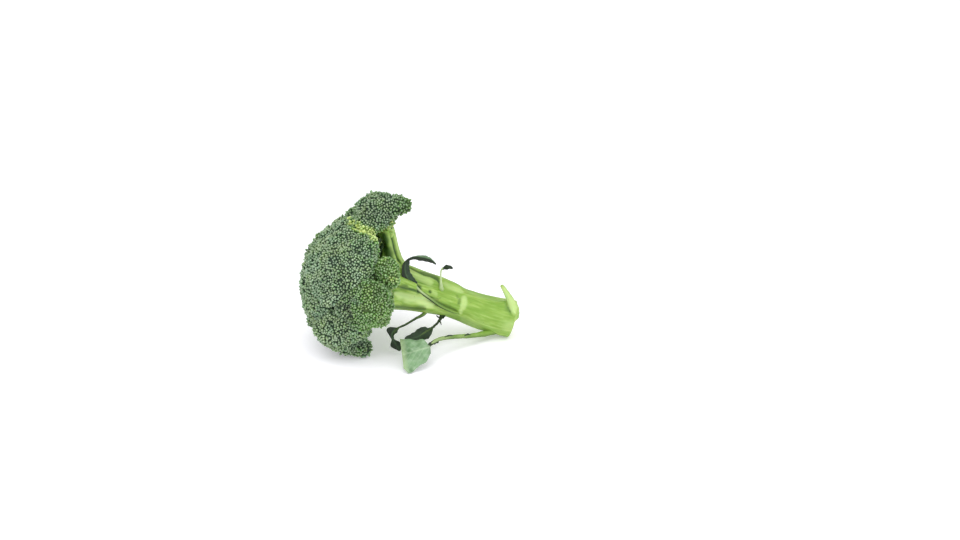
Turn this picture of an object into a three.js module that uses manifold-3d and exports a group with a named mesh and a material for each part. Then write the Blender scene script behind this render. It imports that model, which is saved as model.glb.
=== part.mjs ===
// A head of broccoli lying on its side: the crown to the left (-X), the cut end of the stalk to the
// right (+X), resting on the flat spot of its lowest floret, the low front floret beside it and the stalk.
// Units are millimetres, +Z is up, and z = 0 is the surface that it lies on.
import * as THREE from 'three';
import { ConvexHull } from 'three/addons/math/ConvexHull.js';
import { mergeVertices } from 'three/addons/utils/BufferGeometryUtils.js';
import Module from 'manifold-3d';

const wasm = await Module();
wasm.setup();

// ---------------------------------------------------------------- driving dimensions

const BUTT = new THREE.Vector3(87.4, 20.6, 14.9);    // centre of the stalk's cut end
const TAIL = new THREE.Vector3(87.4, 26.5, 14.9);    // the head's axis runs from here to the fork
const FORK = new THREE.Vector3(-27.7, 4.9, 56.6);    // where the branches part, inside the crown
const GAP = 0.3;                                     // between two solids that touch

const BUD_PITCH = 4.9;         // between two clusters of buds where the surface shows
const HIDDEN_PITCH = 13;       // between two points of a wall that faces a neighbour
const CREASE_DEPTH = 3;        // how far into the crease between two florets the clusters go on
const BUD_RISE = 1.1;          // of a cluster's crest over the floret's surface
const BUD_DIP = 0.7;           // of the dips between three clusters
const BUD_UNEVEN = 0.3;        // share by which that rise varies
const SUBLOBE_RADIUS = 8;      // of the small domes that a floret's surface is made of
const SUBLOBE_RISE = 1.6;      // of those domes over the floret's sphere
const SUBLOBES = 22;           // how many a floret of 20 mm radius has; the others by their area
const TRIALS = 7000;           // directions in which a floret's clusters are tried

const CROWN = new THREE.Vector3(-37, -2, 60);   // middle of the dome that most florets make together
const CROWN_RADIUS = 53.6;     // of that dome, between its bumps
const CROWN_START = 6;         // how far past the fork it begins, along the head's axis

const LEAF_THICKNESS = 1.1;    // of the fleshy blades
const WAVE_STEP = 2.4;         // radians that a blade's wavy edge goes on by at each station
const WAVE_SHIFT = 1.5;        // radians that its two edges are out of step with its midrib

// ---------------------------------------------------------------- the head's own directions

const axis = FORK.clone().sub(TAIL).normalize();                       // from the stalk to the crown
const upward = new THREE.Vector3(0, 0, 1).addScaledVector(axis, -axis.z).normalize();
const frontward = new THREE.Vector3().crossVectors(upward, axis).normalize();

// The direction `tilt` degrees off the axis, `turn` degrees round it: 0 is up, 90 front, 180 down.
function bearing(tilt, turn) {
  const t = THREE.MathUtils.degToRad(tilt);
  const s = THREE.MathUtils.degToRad(turn);
  return axis.clone().multiplyScalar(Math.cos(t))
    .addScaledVector(upward, Math.sin(t) * Math.cos(s))
    .addScaledVector(frontward, Math.sin(t) * Math.sin(s));
}

// A repeatable stream of numbers between 0 and 1.
function dice(seed) {
  let state = seed >>> 0;
  return () => {
    state = (state + 0x6d2b79f5) >>> 0;
    let t = Math.imul(state ^ (state >>> 15), 1 | state);
    t = (t + Math.imul(t ^ (t >>> 7), 61 | t)) ^ t;
    return ((t ^ (t >>> 14)) >>> 0) / 4294967296;
  };
}

// `count` directions spread evenly over the sphere, each moved a little by chance.
function spreadDirections(count, jitter, random) {
  const golden = Math.PI * (3 - Math.sqrt(5));
  return Array.from({ length: count }, (_, i) => {
    const z = 1 - (2 * i + 1) / count;
    const ring = Math.sqrt(1 - z * z);
    const u = new THREE.Vector3(ring * Math.cos(i * golden), ring * Math.sin(i * golden), z);
    u.x += jitter * (random() - 0.5);
    u.y += jitter * (random() - 0.5);
    u.z += jitter * (random() - 0.5);
    return u.normalize();
  });
}

// ---------------------------------------------------------------- florets

// tilt, turn and reach place the middle of a floret's bud mass from the fork; size is its radius and
// neck how far below that middle its underside is cut, where its branch comes in. A lobe is a dome that
// stands out of the mass: [x, y, z, radius], measured from the fork. An `apart` floret stands clear of
// the crown's common dome.
const FLORETS = [
  { name: 'floret_top', tilt: 71.8, turn: 359, reach: 61.2, size: 16.4, neck: 13, seed: 11, apart: true,
    lobes: [[8.4, -1, 67.2, 11.6], [18, -2, 70.6, 7.6], [23.9, -3, 70.2, 5.8], [25.2, -3, 65, 4.6],
      [-7, -11, 53, 11.5], [8.7, 2.6, 54, 7.6]] },
  { name: 'floret_front_high', tilt: 82, turn: 60, reach: 44, size: 11.8, neck: 8, seed: 12, apart: true,
    lobes: [[14, -39, 16, 7.6]] },
  { name: 'floret_front', tilt: 74, turn: 96, reach: 46, size: 20, neck: 13, seed: 13,
    lobes: [[4, -44, -15, 8.5], [5, -42, -1, 10]] },
  { name: 'floret_front_low', tilt: 61.5, turn: 146, reach: 52, size: 19.6, neck: 15, seed: 14,
    lobes: [[-11, -31, -48.2, 7.8], [-20, -31, -36, 12.5], [-22.7, -30.5, -46, 9.2],
      [-48.3, -19.3, -27.4, 9]] },
  { name: 'floret_bottom', tilt: 74, turn: 188, reach: 44.5, size: 22.5, neck: 13, seed: 15, lobes: [] },
  { name: 'floret_back_low', tilt: 73, turn: 223, reach: 52, size: 23, neck: 15, seed: 16, lobes: [] },
  { name: 'floret_back', tilt: 76, turn: 270, reach: 47, size: 24, neck: 12, seed: 17, lobes: [] },
  { name: 'floret_back_high', tilt: 74, turn: 313, reach: 49, size: 20.5, neck: 19, seed: 18,
    lobes: [[6, 25, 22, 10]] },
  { name: 'floret_dome_high', tilt: 38, turn: 350, reach: 40, size: 20, neck: 10, seed: 19,
    lobes: [[-28.4, 9.8, 44.8, 9]] },
  { name: 'floret_dome_front', tilt: 35, turn: 67, reach: 38.5, size: 30, neck: 8, seed: 20, lobes: [] },
  { name: 'floret_dome_low', tilt: 37, turn: 158, reach: 36.2, size: 29, neck: 4, seed: 21,
    lobes: [[-48.3, -19.3, -27.4, 9]] },
  { name: 'floret_dome_back_low', tilt: 42, turn: 224, reach: 36, size: 28, neck: 6, seed: 22, lobes: [] },
  { name: 'floret_dome_back', tilt: 41, turn: 290, reach: 36.5, size: 26, neck: 6, seed: 23, lobes: [] },
];

for (const floret of FLORETS) {
  floret.out = bearing(floret.tilt, floret.turn);
  floret.centre = FORK.clone().addScaledVector(floret.out, floret.reach);
}

// The plane through the circle where two florets' spheres meet; `distance` leaves half the gap.
function sharedPlane(floret, other) {
  const across = other.centre.clone().sub(floret.centre);
  const apart = across.length();
  const normal = across.divideScalar(apart);
  const along = (apart * apart + floret.size ** 2 - other.size ** 2) / (2 * apart);
  return { normal, distance: floret.centre.dot(normal) + along - GAP / 2, other };
}

for (const floret of FLORETS) {
  floret.walls = FLORETS.filter((other) => other !== floret).map((other) => sharedPlane(floret, other));
  floret.base = floret.centre.clone().addScaledVector(floret.out, -floret.neck);
  floret.limits = [
    ...floret.walls,
    { normal: floret.out.clone().negate(), distance: -floret.base.dot(floret.out) },
    { normal: new THREE.Vector3(0, 0, -1), distance: 0 },
  ];
}

// How far a ray from `start` along `u` goes until it leaves a sphere, or 0 if it misses it.
function leaves(start, u, centre, radius) {
  const to = centre.clone().sub(start);
  const along = to.dot(u);
  const off = to.lengthSq() - along * along;
  return off > radius * radius ? 0 : Math.max(0, along + Math.sqrt(radius * radius - off));
}

// How far a ray from `start` along `u` goes until it leaves the crown's common dome.
function leavesCrown(start, u) {
  const slope = -u.dot(axis);
  const back = slope > 1e-6 ? (start.clone().sub(FORK).dot(axis) - CROWN_START) / slope : Infinity;
  return Math.min(leaves(start, u, CROWN, CROWN_RADIUS), back);
}

// `count` small domes that stand a little out of a sphere.
function subLobes(centre, radius, random) {
  const count = Math.round(SUBLOBES * (radius / 20) ** 2);
  return spreadDirections(count, 0.25, random).map((u) => {
    const out = radius - SUBLOBE_RADIUS + SUBLOBE_RISE * (0.5 + random());
    return { centre: centre.clone().addScaledVector(u, out), radius: SUBLOBE_RADIUS };
  });
}

const crownLobes = subLobes(CROWN, CROWN_RADIUS, dice(9))
  .filter(({ centre }) => centre.clone().sub(FORK).dot(axis) > CROWN_START);

// A floret is a bumpy mass round its centre, cut flat where it meets its neighbours, its branch and
// the surface it lies on. Each cluster of buds is a low pyramid over its own patch of the mass.
function floretGeometry(floret) {
  const random = dice(floret.seed);
  const start = floret.centre;
  const domes = subLobes(start, floret.size, random);
  if (!floret.apart) domes.push(...crownLobes);
  for (const [x, y, z, radius] of floret.lobes) {
    domes.push({ centre: FORK.clone().add(new THREE.Vector3(x, y, z)), radius });
  }
  const free = (u) => Math.max(floret.size, floret.apart ? 0 : leavesCrown(start, u),
    ...domes.map((dome) => leaves(start, u, dome.centre, dome.radius)));
  const room = (u) => Math.min(...floret.limits.map(({ normal, distance }) => {
    const slope = normal.dot(u);
    return slope > 1e-6 ? (distance - start.dot(normal)) / slope : Infinity;
  }));

  // Crests: points of the surface no closer to each other than the pitch.
  const crests = [];
  for (const u of spreadDirections(TRIALS, 0.02, random)) {
    const open = free(u);
    const most = room(u);
    const shows = open < most + CREASE_DEPTH;
    const pitch = shows ? BUD_PITCH : HIDDEN_PITCH;
    const reach = Math.min(open, most);
    const point = start.clone().addScaledVector(u, reach);
    if (crests.every((c) => point.distanceTo(c.point) > (shows === c.shows ? pitch : BUD_PITCH))) {
      const rise = shows ? BUD_RISE * (1 + BUD_UNEVEN * (2 * random() - 1)) : 0;
      const top = Math.min(reach + rise, most);
      crests.push({ u, point, shows, top });
    }
  }

  // Faces: the directions' hull gives the triangles between the crests.
  const points = crests.map((crest) => crest.u.clone());
  const hull = new ConvexHull().setFromPoints(points);
  const place = new Map(points.map((p, i) => [p, i]));
  const triangles = hull.faces.map((face) => {
    const corners = [face.edge, face.edge.next, face.edge.prev].map((e) => place.get(e.head().point));
    return { corners, shows: corners.every((i) => crests[i].shows) };
  });
  const vertices = crests.map((crest) => start.clone().addScaledVector(crest.u, crest.top));
  for (const triangle of triangles) {
    if (!triangle.shows) continue;
    const u = triangle.corners.reduce((sum, i) => sum.add(crests[i].u), new THREE.Vector3()).normalize();
    triangle.dip = vertices.length;
    vertices.push(start.clone().addScaledVector(u, Math.min(free(u) - BUD_DIP, room(u))));
  }
  const across = new Map();
  for (const triangle of triangles) {
    triangle.corners.forEach((a, k) => across.set(`${a} ${triangle.corners[(k + 1) % 3]}`, triangle));
  }
  const faces = [];
  for (const triangle of triangles) {
    if (triangle.dip === undefined) {
      faces.push(triangle.corners);
      continue;
    }
    triangle.corners.forEach((a, k) => {
      const b = triangle.corners[(k + 1) % 3];
      const next = across.get(`${b} ${a}`);
      if (next.dip === undefined) faces.push([a, b, triangle.dip]);
      else faces.push([a, next.dip, triangle.dip]);
    });
  }
  return indexed(vertices, faces);
}

function indexed(vertices, faces) {
  const geometry = new THREE.BufferGeometry().setFromPoints(vertices);
  geometry.setIndex(faces.flat());
  return geometry;
}

// ---------------------------------------------------------------- solids that are joined or cut

function solid(geometry) {
  const bare = new THREE.BufferGeometry().setAttribute('position', geometry.getAttribute('position'));
  bare.setIndex(geometry.index);
  const merged = mergeVertices(bare, 1e-4);
  return new wasm.Manifold(new wasm.Mesh({
    numProp: 3,
    vertProperties: merged.attributes.position.array,
    triVerts: new Uint32Array(merged.index.array),
  }));
}

// Cuts can leave a crumb beside the body: only the body is kept.
function largest(body) {
  return body.decompose().reduce((a, b) => (a.volume() > b.volume() ? a : b));
}

function geometryOf(body) {
  const mesh = body.getMesh();
  const geometry = new THREE.BufferGeometry();
  geometry.setAttribute('position', new THREE.BufferAttribute(new Float32Array(mesh.vertProperties), 3));
  geometry.setIndex(new THREE.BufferAttribute(new Uint32Array(mesh.triVerts), 1));
  return geometry;
}

// A closed solid through rings of points, each ring in the same order, with a flat fan at both ends.
function loft(rings) {
  const sides = rings[0].length;
  const vertices = rings.flat();
  const first = vertices.length;
  vertices.push(middleOf(rings[0]), middleOf(rings[rings.length - 1]));
  const faces = [];
  for (let i = 0; i < sides; i += 1) {
    const j = (i + 1) % sides;
    faces.push([first, j, i]);
    faces.push([first + 1, (rings.length - 1) * sides + i, (rings.length - 1) * sides + j]);
    for (let k = 0; k + 1 < rings.length; k += 1) {
      const a = k * sides;
      const b = a + sides;
      faces.push([a + i, a + j, b + j], [a + i, b + j, b + i]);
    }
  }
  return indexed(vertices, faces);
}

function middleOf(ring) {
  return ring.reduce((sum, p) => sum.add(p), new THREE.Vector3()).divideScalar(ring.length);
}

// A fleshy stem along a curve: `radii` run from its start to its end, and `ribs` low ridges run along it.
function stem(points, radii, { sides = 12, steps = 10, ribs = 0, ribRise = 0, grow = 0, floret } = {}) {
  const curve = new THREE.CatmullRomCurve3(points);
  const frames = curve.computeFrenetFrames(steps, false);
  const rings = frames.tangents.map((_, k) => {
    const t = k / steps;
    const spot = t * (radii.length - 1);
    const low = Math.min(Math.floor(spot), radii.length - 2);
    const radius = THREE.MathUtils.lerp(radii[low], radii[low + 1], spot - low) + grow;
    const centre = curve.getPointAt(t);
    return Array.from({ length: sides }, (__, i) => {
      const turn = (i / sides) * 2 * Math.PI;
      const r = radius + ribRise * Math.cos(ribs * turn);
      const point = centre.clone()
        .addScaledVector(frames.normals[k], r * Math.cos(turn))
        .addScaledVector(frames.binormals[k], r * Math.sin(turn));
      return floret ? heldBack(point, floret) : point;
    });
  });
  const body = solid(loft(rings));
  if (!floret) return body;
  return body.trimByPlane(floret.out.clone().negate().toArray(), GAP - floret.base.dot(floret.out));
}

const UNDER_ROOM = 9;   // below a floret's base, where other florets' branches still keep clear

// A branch keeps out of the room that the other florets' bud masses take.
function heldBack(point, floret) {
  for (const { normal, distance, other } of floret.walls) {
    const over = point.dot(normal) - distance + GAP;
    const height = point.clone().sub(other.base).dot(other.out);
    if (over > 0 && height > -UNDER_ROOM) point.addScaledVector(normal, -over);
  }
  return point;
}

// ---------------------------------------------------------------- the stalk and its branches

const at = (x, y, z) => new THREE.Vector3(x, y, z);

// The trunk swells towards the crown, where its limbs part.
const TRUNK = [BUTT, at(59.6, 18.8, 22.4), at(44.5, 16.7, 29.4), at(20, 14, 39), at(-8, 9, 48.5), FORK];
const TRUNK_RADII = [15.6, 15.2, 13.8, 13.6, 14.6, 17];

// The stub of a leaf stem that was cut off at the butt.
const CUT_LEAF_STEM = [
  at(80, 13, 16.6), at(88.4, 12, 19.6), at(89, 11.8, 27.1), at(85.6, 13.2, 34.8), at(81.6, 15, 42.1),
  at(77.4, 17, 48.1),
];

const HUB_RADIUS = 21;   // of the knot where the branches part

const RIM_TILT = 50;      // florets further off the axis have a branch of their own from the trunk
const RIM_BRANCH = 0.52;  // where on the trunk those branches begin to part, from butt to fork

const floretNamed = (name) => FLORETS.find((floret) => floret.name === name);
const branchEnd = (floret, back) => floret.base.clone().addScaledVector(floret.out, -GAP - back);

// The path of a rim floret's branch: along the trunk, drawing away from it, then out to the floret.
function branchPath(floret) {
  const side = floret.out.clone().addScaledVector(axis, -floret.out.dot(axis)).normalize();
  const root = BUTT.clone().lerp(FORK, RIM_BRANCH);
  return [
    root.clone().addScaledVector(side, 5),
    root.clone().addScaledVector(axis, 16).addScaledVector(side, 8),
    root.clone().addScaledVector(axis, 34).addScaledVector(side, 11),
    branchEnd(floret, 9),
    branchEnd(floret, 0),
  ];
}

function stalkBody(grow = 0) {
  const hub = new THREE.IcosahedronGeometry(HUB_RADIUS + grow, 2).translate(FORK.x, FORK.y, FORK.z);
  const parts = [
    solid(hub),
    stem(TRUNK, TRUNK_RADII, { sides: 20, steps: 14, ribs: 6, ribRise: 0.7, grow }),
  ];
  const top = floretNamed('floret_top');
  parts.push(stem(
    [at(46, 19, 34), at(30, 16.5, 42.5), at(17.6, 14, 49), at(5, 12, 54.5), at(-6, 9.5, 62),
      at(-12.6, 8, 72), at(-15.8, 8, 81), at(-17.8, 8, 91), at(-19.2, 8, 99), at(-19.8, 8, 106)],
    [8, 10.2, 9.8, 9.6, 9, 8.3, 8, 8.2, 8, 7.4],
    { sides: 16, steps: 22, ribs: 4, ribRise: 0.8, grow, floret: top },
  ));
  const front = floretNamed('floret_front');
  parts.push(stem(
    [at(46, 15, 28), at(30, 9, 30), at(17.6, 5, 35.5), at(-7.6, -2, 41.5), at(-20, -12, 48),
      branchEnd(front, 6), branchEnd(front, 0)],
    [5, 7, 8.8, 8, 8.5, 9, 12],
    { sides: 14, steps: 16, ribs: 4, ribRise: 0.6, grow, floret: front },
  ));
  const backHigh = floretNamed('floret_back_high');
  parts.push(stem(
    [at(46, 23, 36), at(30, 23, 44.5), at(15, 23, 50.5), at(1, 22, 56.5),
      branchEnd(backHigh, 8), branchEnd(backHigh, 0)],
    [5, 6.5, 6, 6.5, 8, 10],
    { sides: 12, steps: 14, ribs: 4, ribRise: 0.4, grow, floret: backHigh },
  ));
  for (const floret of FLORETS) {
    if ([top, front, backHigh].includes(floret)) continue;
    if (floret.tilt < RIM_TILT) {
      parts.push(stem([FORK, branchEnd(floret, 0)], [9, 8], { sides: 9, steps: 3, grow, floret }));
    } else {
      parts.push(stem(
        branchPath(floret),
        [5, 6.5, 7, 7.5, 9.5],
        { sides: 10, steps: 9, ribs: 5, ribRise: 0.5, grow, floret },
      ));
    }
  }
  parts.push(stem(CUT_LEAF_STEM, [4.2, 4.9, 4.9, 4, 2.9, 2.2], { sides: 8, steps: 8, grow }));
  return largest(parts.reduce((all, part) => all.add(part)).trimByPlane([0, 0, 1], 0));
}

// ---------------------------------------------------------------- leaves

// A leaf blade round its midrib: at each station along it, how wide the blade is on either side, the
// direction across it, how far its edges curl out of that plane and how much they wave.
function blade({ midrib, widths, across, curl = 0, wave = 0, columns = 3 }) {
  const curve = new THREE.CatmullRomCurve3(midrib);
  const last = widths.length - 1;
  const middle = widths.map(([left, right], k) => {
    const t = k / last;
    const spot = t * (across.length - 1);
    const low = Math.min(Math.floor(spot), across.length - 2);
    const tangent = curve.getTangentAt(t);
    const side = across[low].clone().lerp(across[low + 1], spot - low);
    side.normalize();
    const face = new THREE.Vector3().crossVectors(tangent, side).normalize();
    const row = [];
    for (let j = -columns; j <= columns; j += 1) {
      const share = j / columns;
      const reach = j < 0 ? left : right;
      const swell = Math.sin(WAVE_STEP * k + WAVE_SHIFT * Math.sign(j));
      const lift = share * share * (curl * reach + wave * swell);
      row.push(curve.getPointAt(t).addScaledVector(side, share * reach).addScaledVector(face, lift));
    }
    return row;
  });
  return solid(thickened(middle, LEAF_THICKNESS));
}

// A closed sheet round a grid of points, split into the same triangles on both faces.
function thickened(grid, thickness) {
  const rows = grid.length;
  const columns = grid[0].length;
  const step = (i, j) => grid[Math.min(Math.max(i, 0), rows - 1)][Math.min(Math.max(j, 0), columns - 1)];
  const faceOf = (i, j) => new THREE.Vector3().crossVectors(
    step(i + 1, j).clone().sub(step(i - 1, j)),
    step(i, j + 1).clone().sub(step(i, j - 1)),
  ).normalize();
  const shifted = (distance) => grid.flatMap((row, i) => row.map((p, j) => (
    p.clone().addScaledVector(faceOf(i, j), distance))));
  const vertices = [...shifted(thickness / 2), ...shifted(-thickness / 2)];
  const under = rows * columns;
  const faces = [];
  for (let i = 0; i + 1 < rows; i += 1) {
    for (let j = 0; j + 1 < columns; j += 1) {
      const a = i * columns + j;
      const b = a + columns;
      faces.push([a, b, b + 1], [a, b + 1, a + 1]);
      faces.push([under + a, under + b + 1, under + b], [under + a, under + a + 1, under + b + 1]);
    }
  }
  const rim = [];
  for (let j = 0; j + 1 < columns; j += 1) rim.push([j, j + 1]);
  for (let i = 0; i + 1 < rows; i += 1) rim.push([(i + 1) * columns - 1, (i + 2) * columns - 1]);
  const last = (rows - 1) * columns;
  for (let j = columns - 1; j > 0; j -= 1) rim.push([last + j, last + j - 1]);
  for (let i = rows - 1; i > 0; i -= 1) rim.push([i * columns, (i - 1) * columns]);
  for (const [a, b] of rim) faces.push([a, b, under + b], [a, under + b, under + a]);
  return indexed(vertices, faces);
}

// Every leaf is a thin stem that grows out of the stalk, and one or two blades on it.
const LEAVES = [
  { name: 'leaf_broad',
    stemPath: [at(78, 12, 7.5), at(72, 12.5, 7), at(66, 9, 6.9), at(60, 4.5, 7.5), at(51, -2, 8.9),
      at(34.4, -14, 12.9), at(23.5, -26, 15.4), at(15, -40, 14.6)],
    stemRadii: [3, 2.9, 2.2, 2, 1.9, 1.8, 1.5, 1.2],
    blades: [{
      midrib: [at(18.2, -40.5, 15.2), at(10.6, -42.5, 14), at(2.8, -45, 12.4), at(-5.2, -47.5, 10.9)],
      across: [at(0.1, -0.85, -0.52), at(0.12, -0.85, -0.5)],
      widths: [[0.7, 6], [8, 12], [11, 14.2], [11.6, 16.2], [14, 17.6], [17, 19.4], [17.6, 13]],
      curl: -0.06, wave: 0.9, columns: 4,
    }] },
  { name: 'leaf_dark',
    stemPath: [at(30, 12, 30), at(26.9, 6, 23.4), at(24.4, 0, 21.1), at(19.3, -6, 18.1), at(9, -16, 14.8)],
    stemRadii: [2.2, 1.8, 1.3, 1.5, 0.9],
    blades: [{
      midrib: [at(19.3, -6, 18.1), at(13.4, -12, 16), at(7.6, -17, 14.6), at(2, -21, 14.4),
        at(-3.4, -24, 15)],
      across: [at(0.2, -0.75, -0.6), at(0.1, -0.8, -0.55)],
      widths: [[1, 1.5], [4.6, 6.5], [6.2, 6.4], [7.2, 6.8], [6, 6.6], [4.2, 4.4], [1, 1]],
      curl: 0.22, wave: 0.7,
    }] },
  { name: 'leaf_two_lobed',
    stemPath: [at(16, 5, 34), at(12.6, 1.4, 28), at(5, -3, 25), at(-3.4, -9, 22), at(-10, -14, 20.8),
      at(-13, -17, 18)],
    stemRadii: [2, 1.7, 1.1, 1, 1, 0.8],
    blades: [{
      midrib: [at(-9.5, -13.6, 21), at(-13.8, -17, 18), at(-14, -19, 14.3), at(-11.8, -21, 10.6),
        at(-7.6, -25, 5)],
      across: [at(0.8, -0.2, -0.6), at(0.95, -0.1, 0.1), at(0.8, -0.3, 0.5)],
      widths: [[0.8, 0.8], [3.8, 3], [4.6, 3.6], [2.4, 1.8], [1.1, 1.1], [3.6, 4.6], [4.6, 5], [3.2, 4],
        [0.9, 0.9]],
      curl: 0.2, wave: 0.4, columns: 2,
    }] },
  { name: 'leaf_strap',
    stemPath: [at(44, 6, 25.5), at(37, -0.6, 30.2), at(26, -3.2, 36.8), at(17.6, -3.6, 43.6),
      at(10, -4.2, 50), at(3.4, -3.2, 57.4)],
    stemRadii: [1.2, 1.6, 1.5, 1.3, 1.3, 1.1],
    blades: [{
      midrib: [at(5.4, -2.9, 55), at(-0.4, -3, 60.6), at(-3.4, -2.6, 69), at(-2.4, -1, 76.5),
        at(3.4, 1.5, 79.2),
        at(10.5, 4.5, 77.8), at(18, 8, 74.5), at(22.4, 10, 69.8)],
      across: [at(-0.9, -0.3, 0.1), at(-0.9, -0.4, 0), at(-0.75, -0.65, 0.1), at(-0.2, -0.95, -0.1),
        at(0, -0.8, -0.6), at(0, -0.75, -0.65)],
      widths: [[2.4, 1.4], [5, 3.6], [5, 4.2], [4.2, 4], [4.2, 3.8], [3.8, 3.6], [3.4, 3.4], [3.3, 3.3],
        [3.2, 3.2], [2.8, 2.8], [2, 2], [0.7, 0.7]],
      curl: 0.3, columns: 2,
    }] },
  { name: 'leaf_curled',
    stemPath: [at(27.6, 10, 46), at(27, 5, 50), at(26.6, 4.6, 58), at(27, 5.6, 65.5), at(28.6, 5.6, 68)],
    stemRadii: [1.8, 1.5, 1.1, 0.9, 0.8],
    blades: [{
      midrib: [at(27.6, 5.6, 67), at(31, 4.6, 69.2), at(34, 3.6, 69.6), at(36.8, 3, 68.8)],
      across: [at(0, -0.6, -0.8), at(0, -0.6, -0.8)],
      widths: [[0.8, 0.9], [1.7, 1.8], [2, 2.2], [1.6, 1.8], [0.7, 0.7]],
      curl: 0.5, columns: 2,
    }] },
];

// The stalk a gap's width larger all round, which each leaf is cut back to.
const stalkRoom = stalkBody(GAP);

function leafBody({ stemPath, stemRadii, blades }) {
  const parts = blades.map(blade);
  parts.push(stem(stemPath, stemRadii, { sides: 8, steps: 10 }));
  const leaf = parts.reduce((all, part) => all.add(part));
  return largest(leaf.subtract(stalkRoom).trimByPlane([0, 0, 1], 0));
}

// ---------------------------------------------------------------- the scene graph

const budGreen = new THREE.MeshStandardMaterial({ color: 0x4f6f45, roughness: 0.85, metalness: 0 });
const stalkGreen = new THREE.MeshStandardMaterial({ color: 0xa4cc66, roughness: 0.55, metalness: 0 });
const darkLeaf = new THREE.MeshStandardMaterial({ color: 0x2f4f3a, roughness: 0.6, metalness: 0 });
const paleLeaf = new THREE.MeshStandardMaterial({ color: 0x86ad8c, roughness: 0.7, metalness: 0 });

const head = new THREE.Group();

function addPiece(name, geometry, material) {
  const mesh = new THREE.Mesh(geometry, material);
  mesh.name = name;
  head.add(mesh);
}

const stalk = stalkBody();
addPiece('stalk', geometryOf(stalk), stalkGreen);
for (const floret of FLORETS) {
  addPiece(floret.name, floretGeometry(floret), budGreen);
}
for (const leaf of LEAVES) {
  addPiece(leaf.name, geometryOf(leafBody(leaf)), leaf.name === 'leaf_broad' ? paleLeaf : darkLeaf);
}

// The origin is at the middle of the head's footprint, on the surface that it lies on.
const box = new THREE.Box3().setFromObject(head);
head.position.set(-(box.min.x + box.max.x) / 2, -(box.min.y + box.max.y) / 2, -box.min.z);

export default head;
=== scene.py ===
"""A head of broccoli on its side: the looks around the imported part.

Lengths in the tables are millimetres in the part's own frame, whose x and y differ from the row frame's by
SHIFT. Everything in Blender is in metres in the row frame.
"""
import math

import bmesh
import bpy
import numpy as np
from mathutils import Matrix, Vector
from mathutils.bvhtree import BVHTree
from mathutils.kdtree import KDTree


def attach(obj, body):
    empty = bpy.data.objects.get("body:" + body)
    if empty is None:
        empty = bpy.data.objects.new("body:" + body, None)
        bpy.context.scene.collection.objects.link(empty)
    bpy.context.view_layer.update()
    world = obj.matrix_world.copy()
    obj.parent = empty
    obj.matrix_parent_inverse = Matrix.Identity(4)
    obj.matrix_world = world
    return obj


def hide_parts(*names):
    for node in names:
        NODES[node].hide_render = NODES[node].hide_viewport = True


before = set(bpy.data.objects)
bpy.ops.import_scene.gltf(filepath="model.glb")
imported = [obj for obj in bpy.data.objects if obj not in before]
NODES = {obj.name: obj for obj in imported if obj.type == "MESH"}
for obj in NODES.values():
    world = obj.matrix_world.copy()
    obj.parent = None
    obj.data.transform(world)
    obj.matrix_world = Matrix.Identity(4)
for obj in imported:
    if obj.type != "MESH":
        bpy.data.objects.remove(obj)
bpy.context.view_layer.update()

MM = 0.001
SKY = np.array([0.0, 0.0, 1.0])
norm = np.linalg.norm
SHIFT = np.array([-0.64, -5.2, 0.0])  # from the part's own frame to the row frame, mm


def unit(v):
    """A vector made 1 long."""
    return v / norm(v)


def units(v):
    """unit for rows of vectors; one without a length stays as it is."""
    return v / np.maximum(norm(v, axis=-1, keepdims=True), 1e-12)


# --- the head's own directions

BUTT = np.array([87.4, 20.6, 14.9])  # centre of the stalk's cut end
TAIL = np.array([87.4, 26.5, 14.9])  # the head's axis runs from here to the fork
FORK = np.array([-27.7, 4.9, 56.6])
AXIS = unit(FORK - TAIL)
UPWARD = unit(SKY - AXIS * AXIS[2])
FRONTWARD = np.cross(UPWARD, AXIS)


def bearing(tilt, turn):
    """The direction tilt degrees off the axis, turn degrees round it: 0 is up, 90 front, 180 down."""
    t, s = math.radians(tilt), math.radians(turn)
    return AXIS * math.cos(t) + (UPWARD * math.cos(s) + FRONTWARD * math.sin(s)) * math.sin(t)


def row(point):
    """A point of the part's own frame, in mm, as metres in the row frame."""
    return (np.asarray(point, float) + SHIFT) * MM


def own_of(places):
    """Places in metres in the row frame, as mm in the part's own frame."""
    return places / MM - SHIFT


def placed(name, data):
    """A new object in the scene."""
    made = bpy.data.objects.new(name, data)
    bpy.context.scene.collection.objects.link(made)
    return made


def eased(share):
    """A share from 0 to 1 with soft ends."""
    return share * share * (3 - 2 * share)


LEAST_HEIGHT = 0.02 * MM


def off_floor(co):
    """These corners, with none of them under the floor."""
    co[:, 2] = np.maximum(co[:, 2], LEAST_HEIGHT)
    return co


# tilt, turn, reach and neck of each floret, as in the part's source
FLORETS = {
    "floret_top": (71.8, 359, 61.2, 13),
    "floret_front_high": (82, 60, 44, 8),
    "floret_front": (74, 96, 46, 13),
    "floret_front_low": (61.5, 146, 52, 15),
    "floret_bottom": (74, 188, 44.5, 13),
    "floret_back_low": (73, 223, 52, 15),
    "floret_back": (76, 270, 47, 12),
    "floret_back_high": (74, 313, 49, 19),
    "floret_dome_high": (38, 350, 40, 10),
    "floret_dome_front": (35, 67, 38.5, 8),
    "floret_dome_low": (37, 158, 36.2, 4),
    "floret_dome_back_low": (42, 224, 36, 6),
    "floret_dome_back": (41, 290, 36.5, 6),
}
OUT = {name: bearing(tilt, turn) for name, (tilt, turn, _, _) in FLORETS.items()}
BASE = {name: FORK + OUT[name] * (reach - neck) for name, (_, _, reach, neck) in FLORETS.items()}
RIM_TILT = 50  # florets further off the axis have a branch of their own from the trunk

# --- camera

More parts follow.
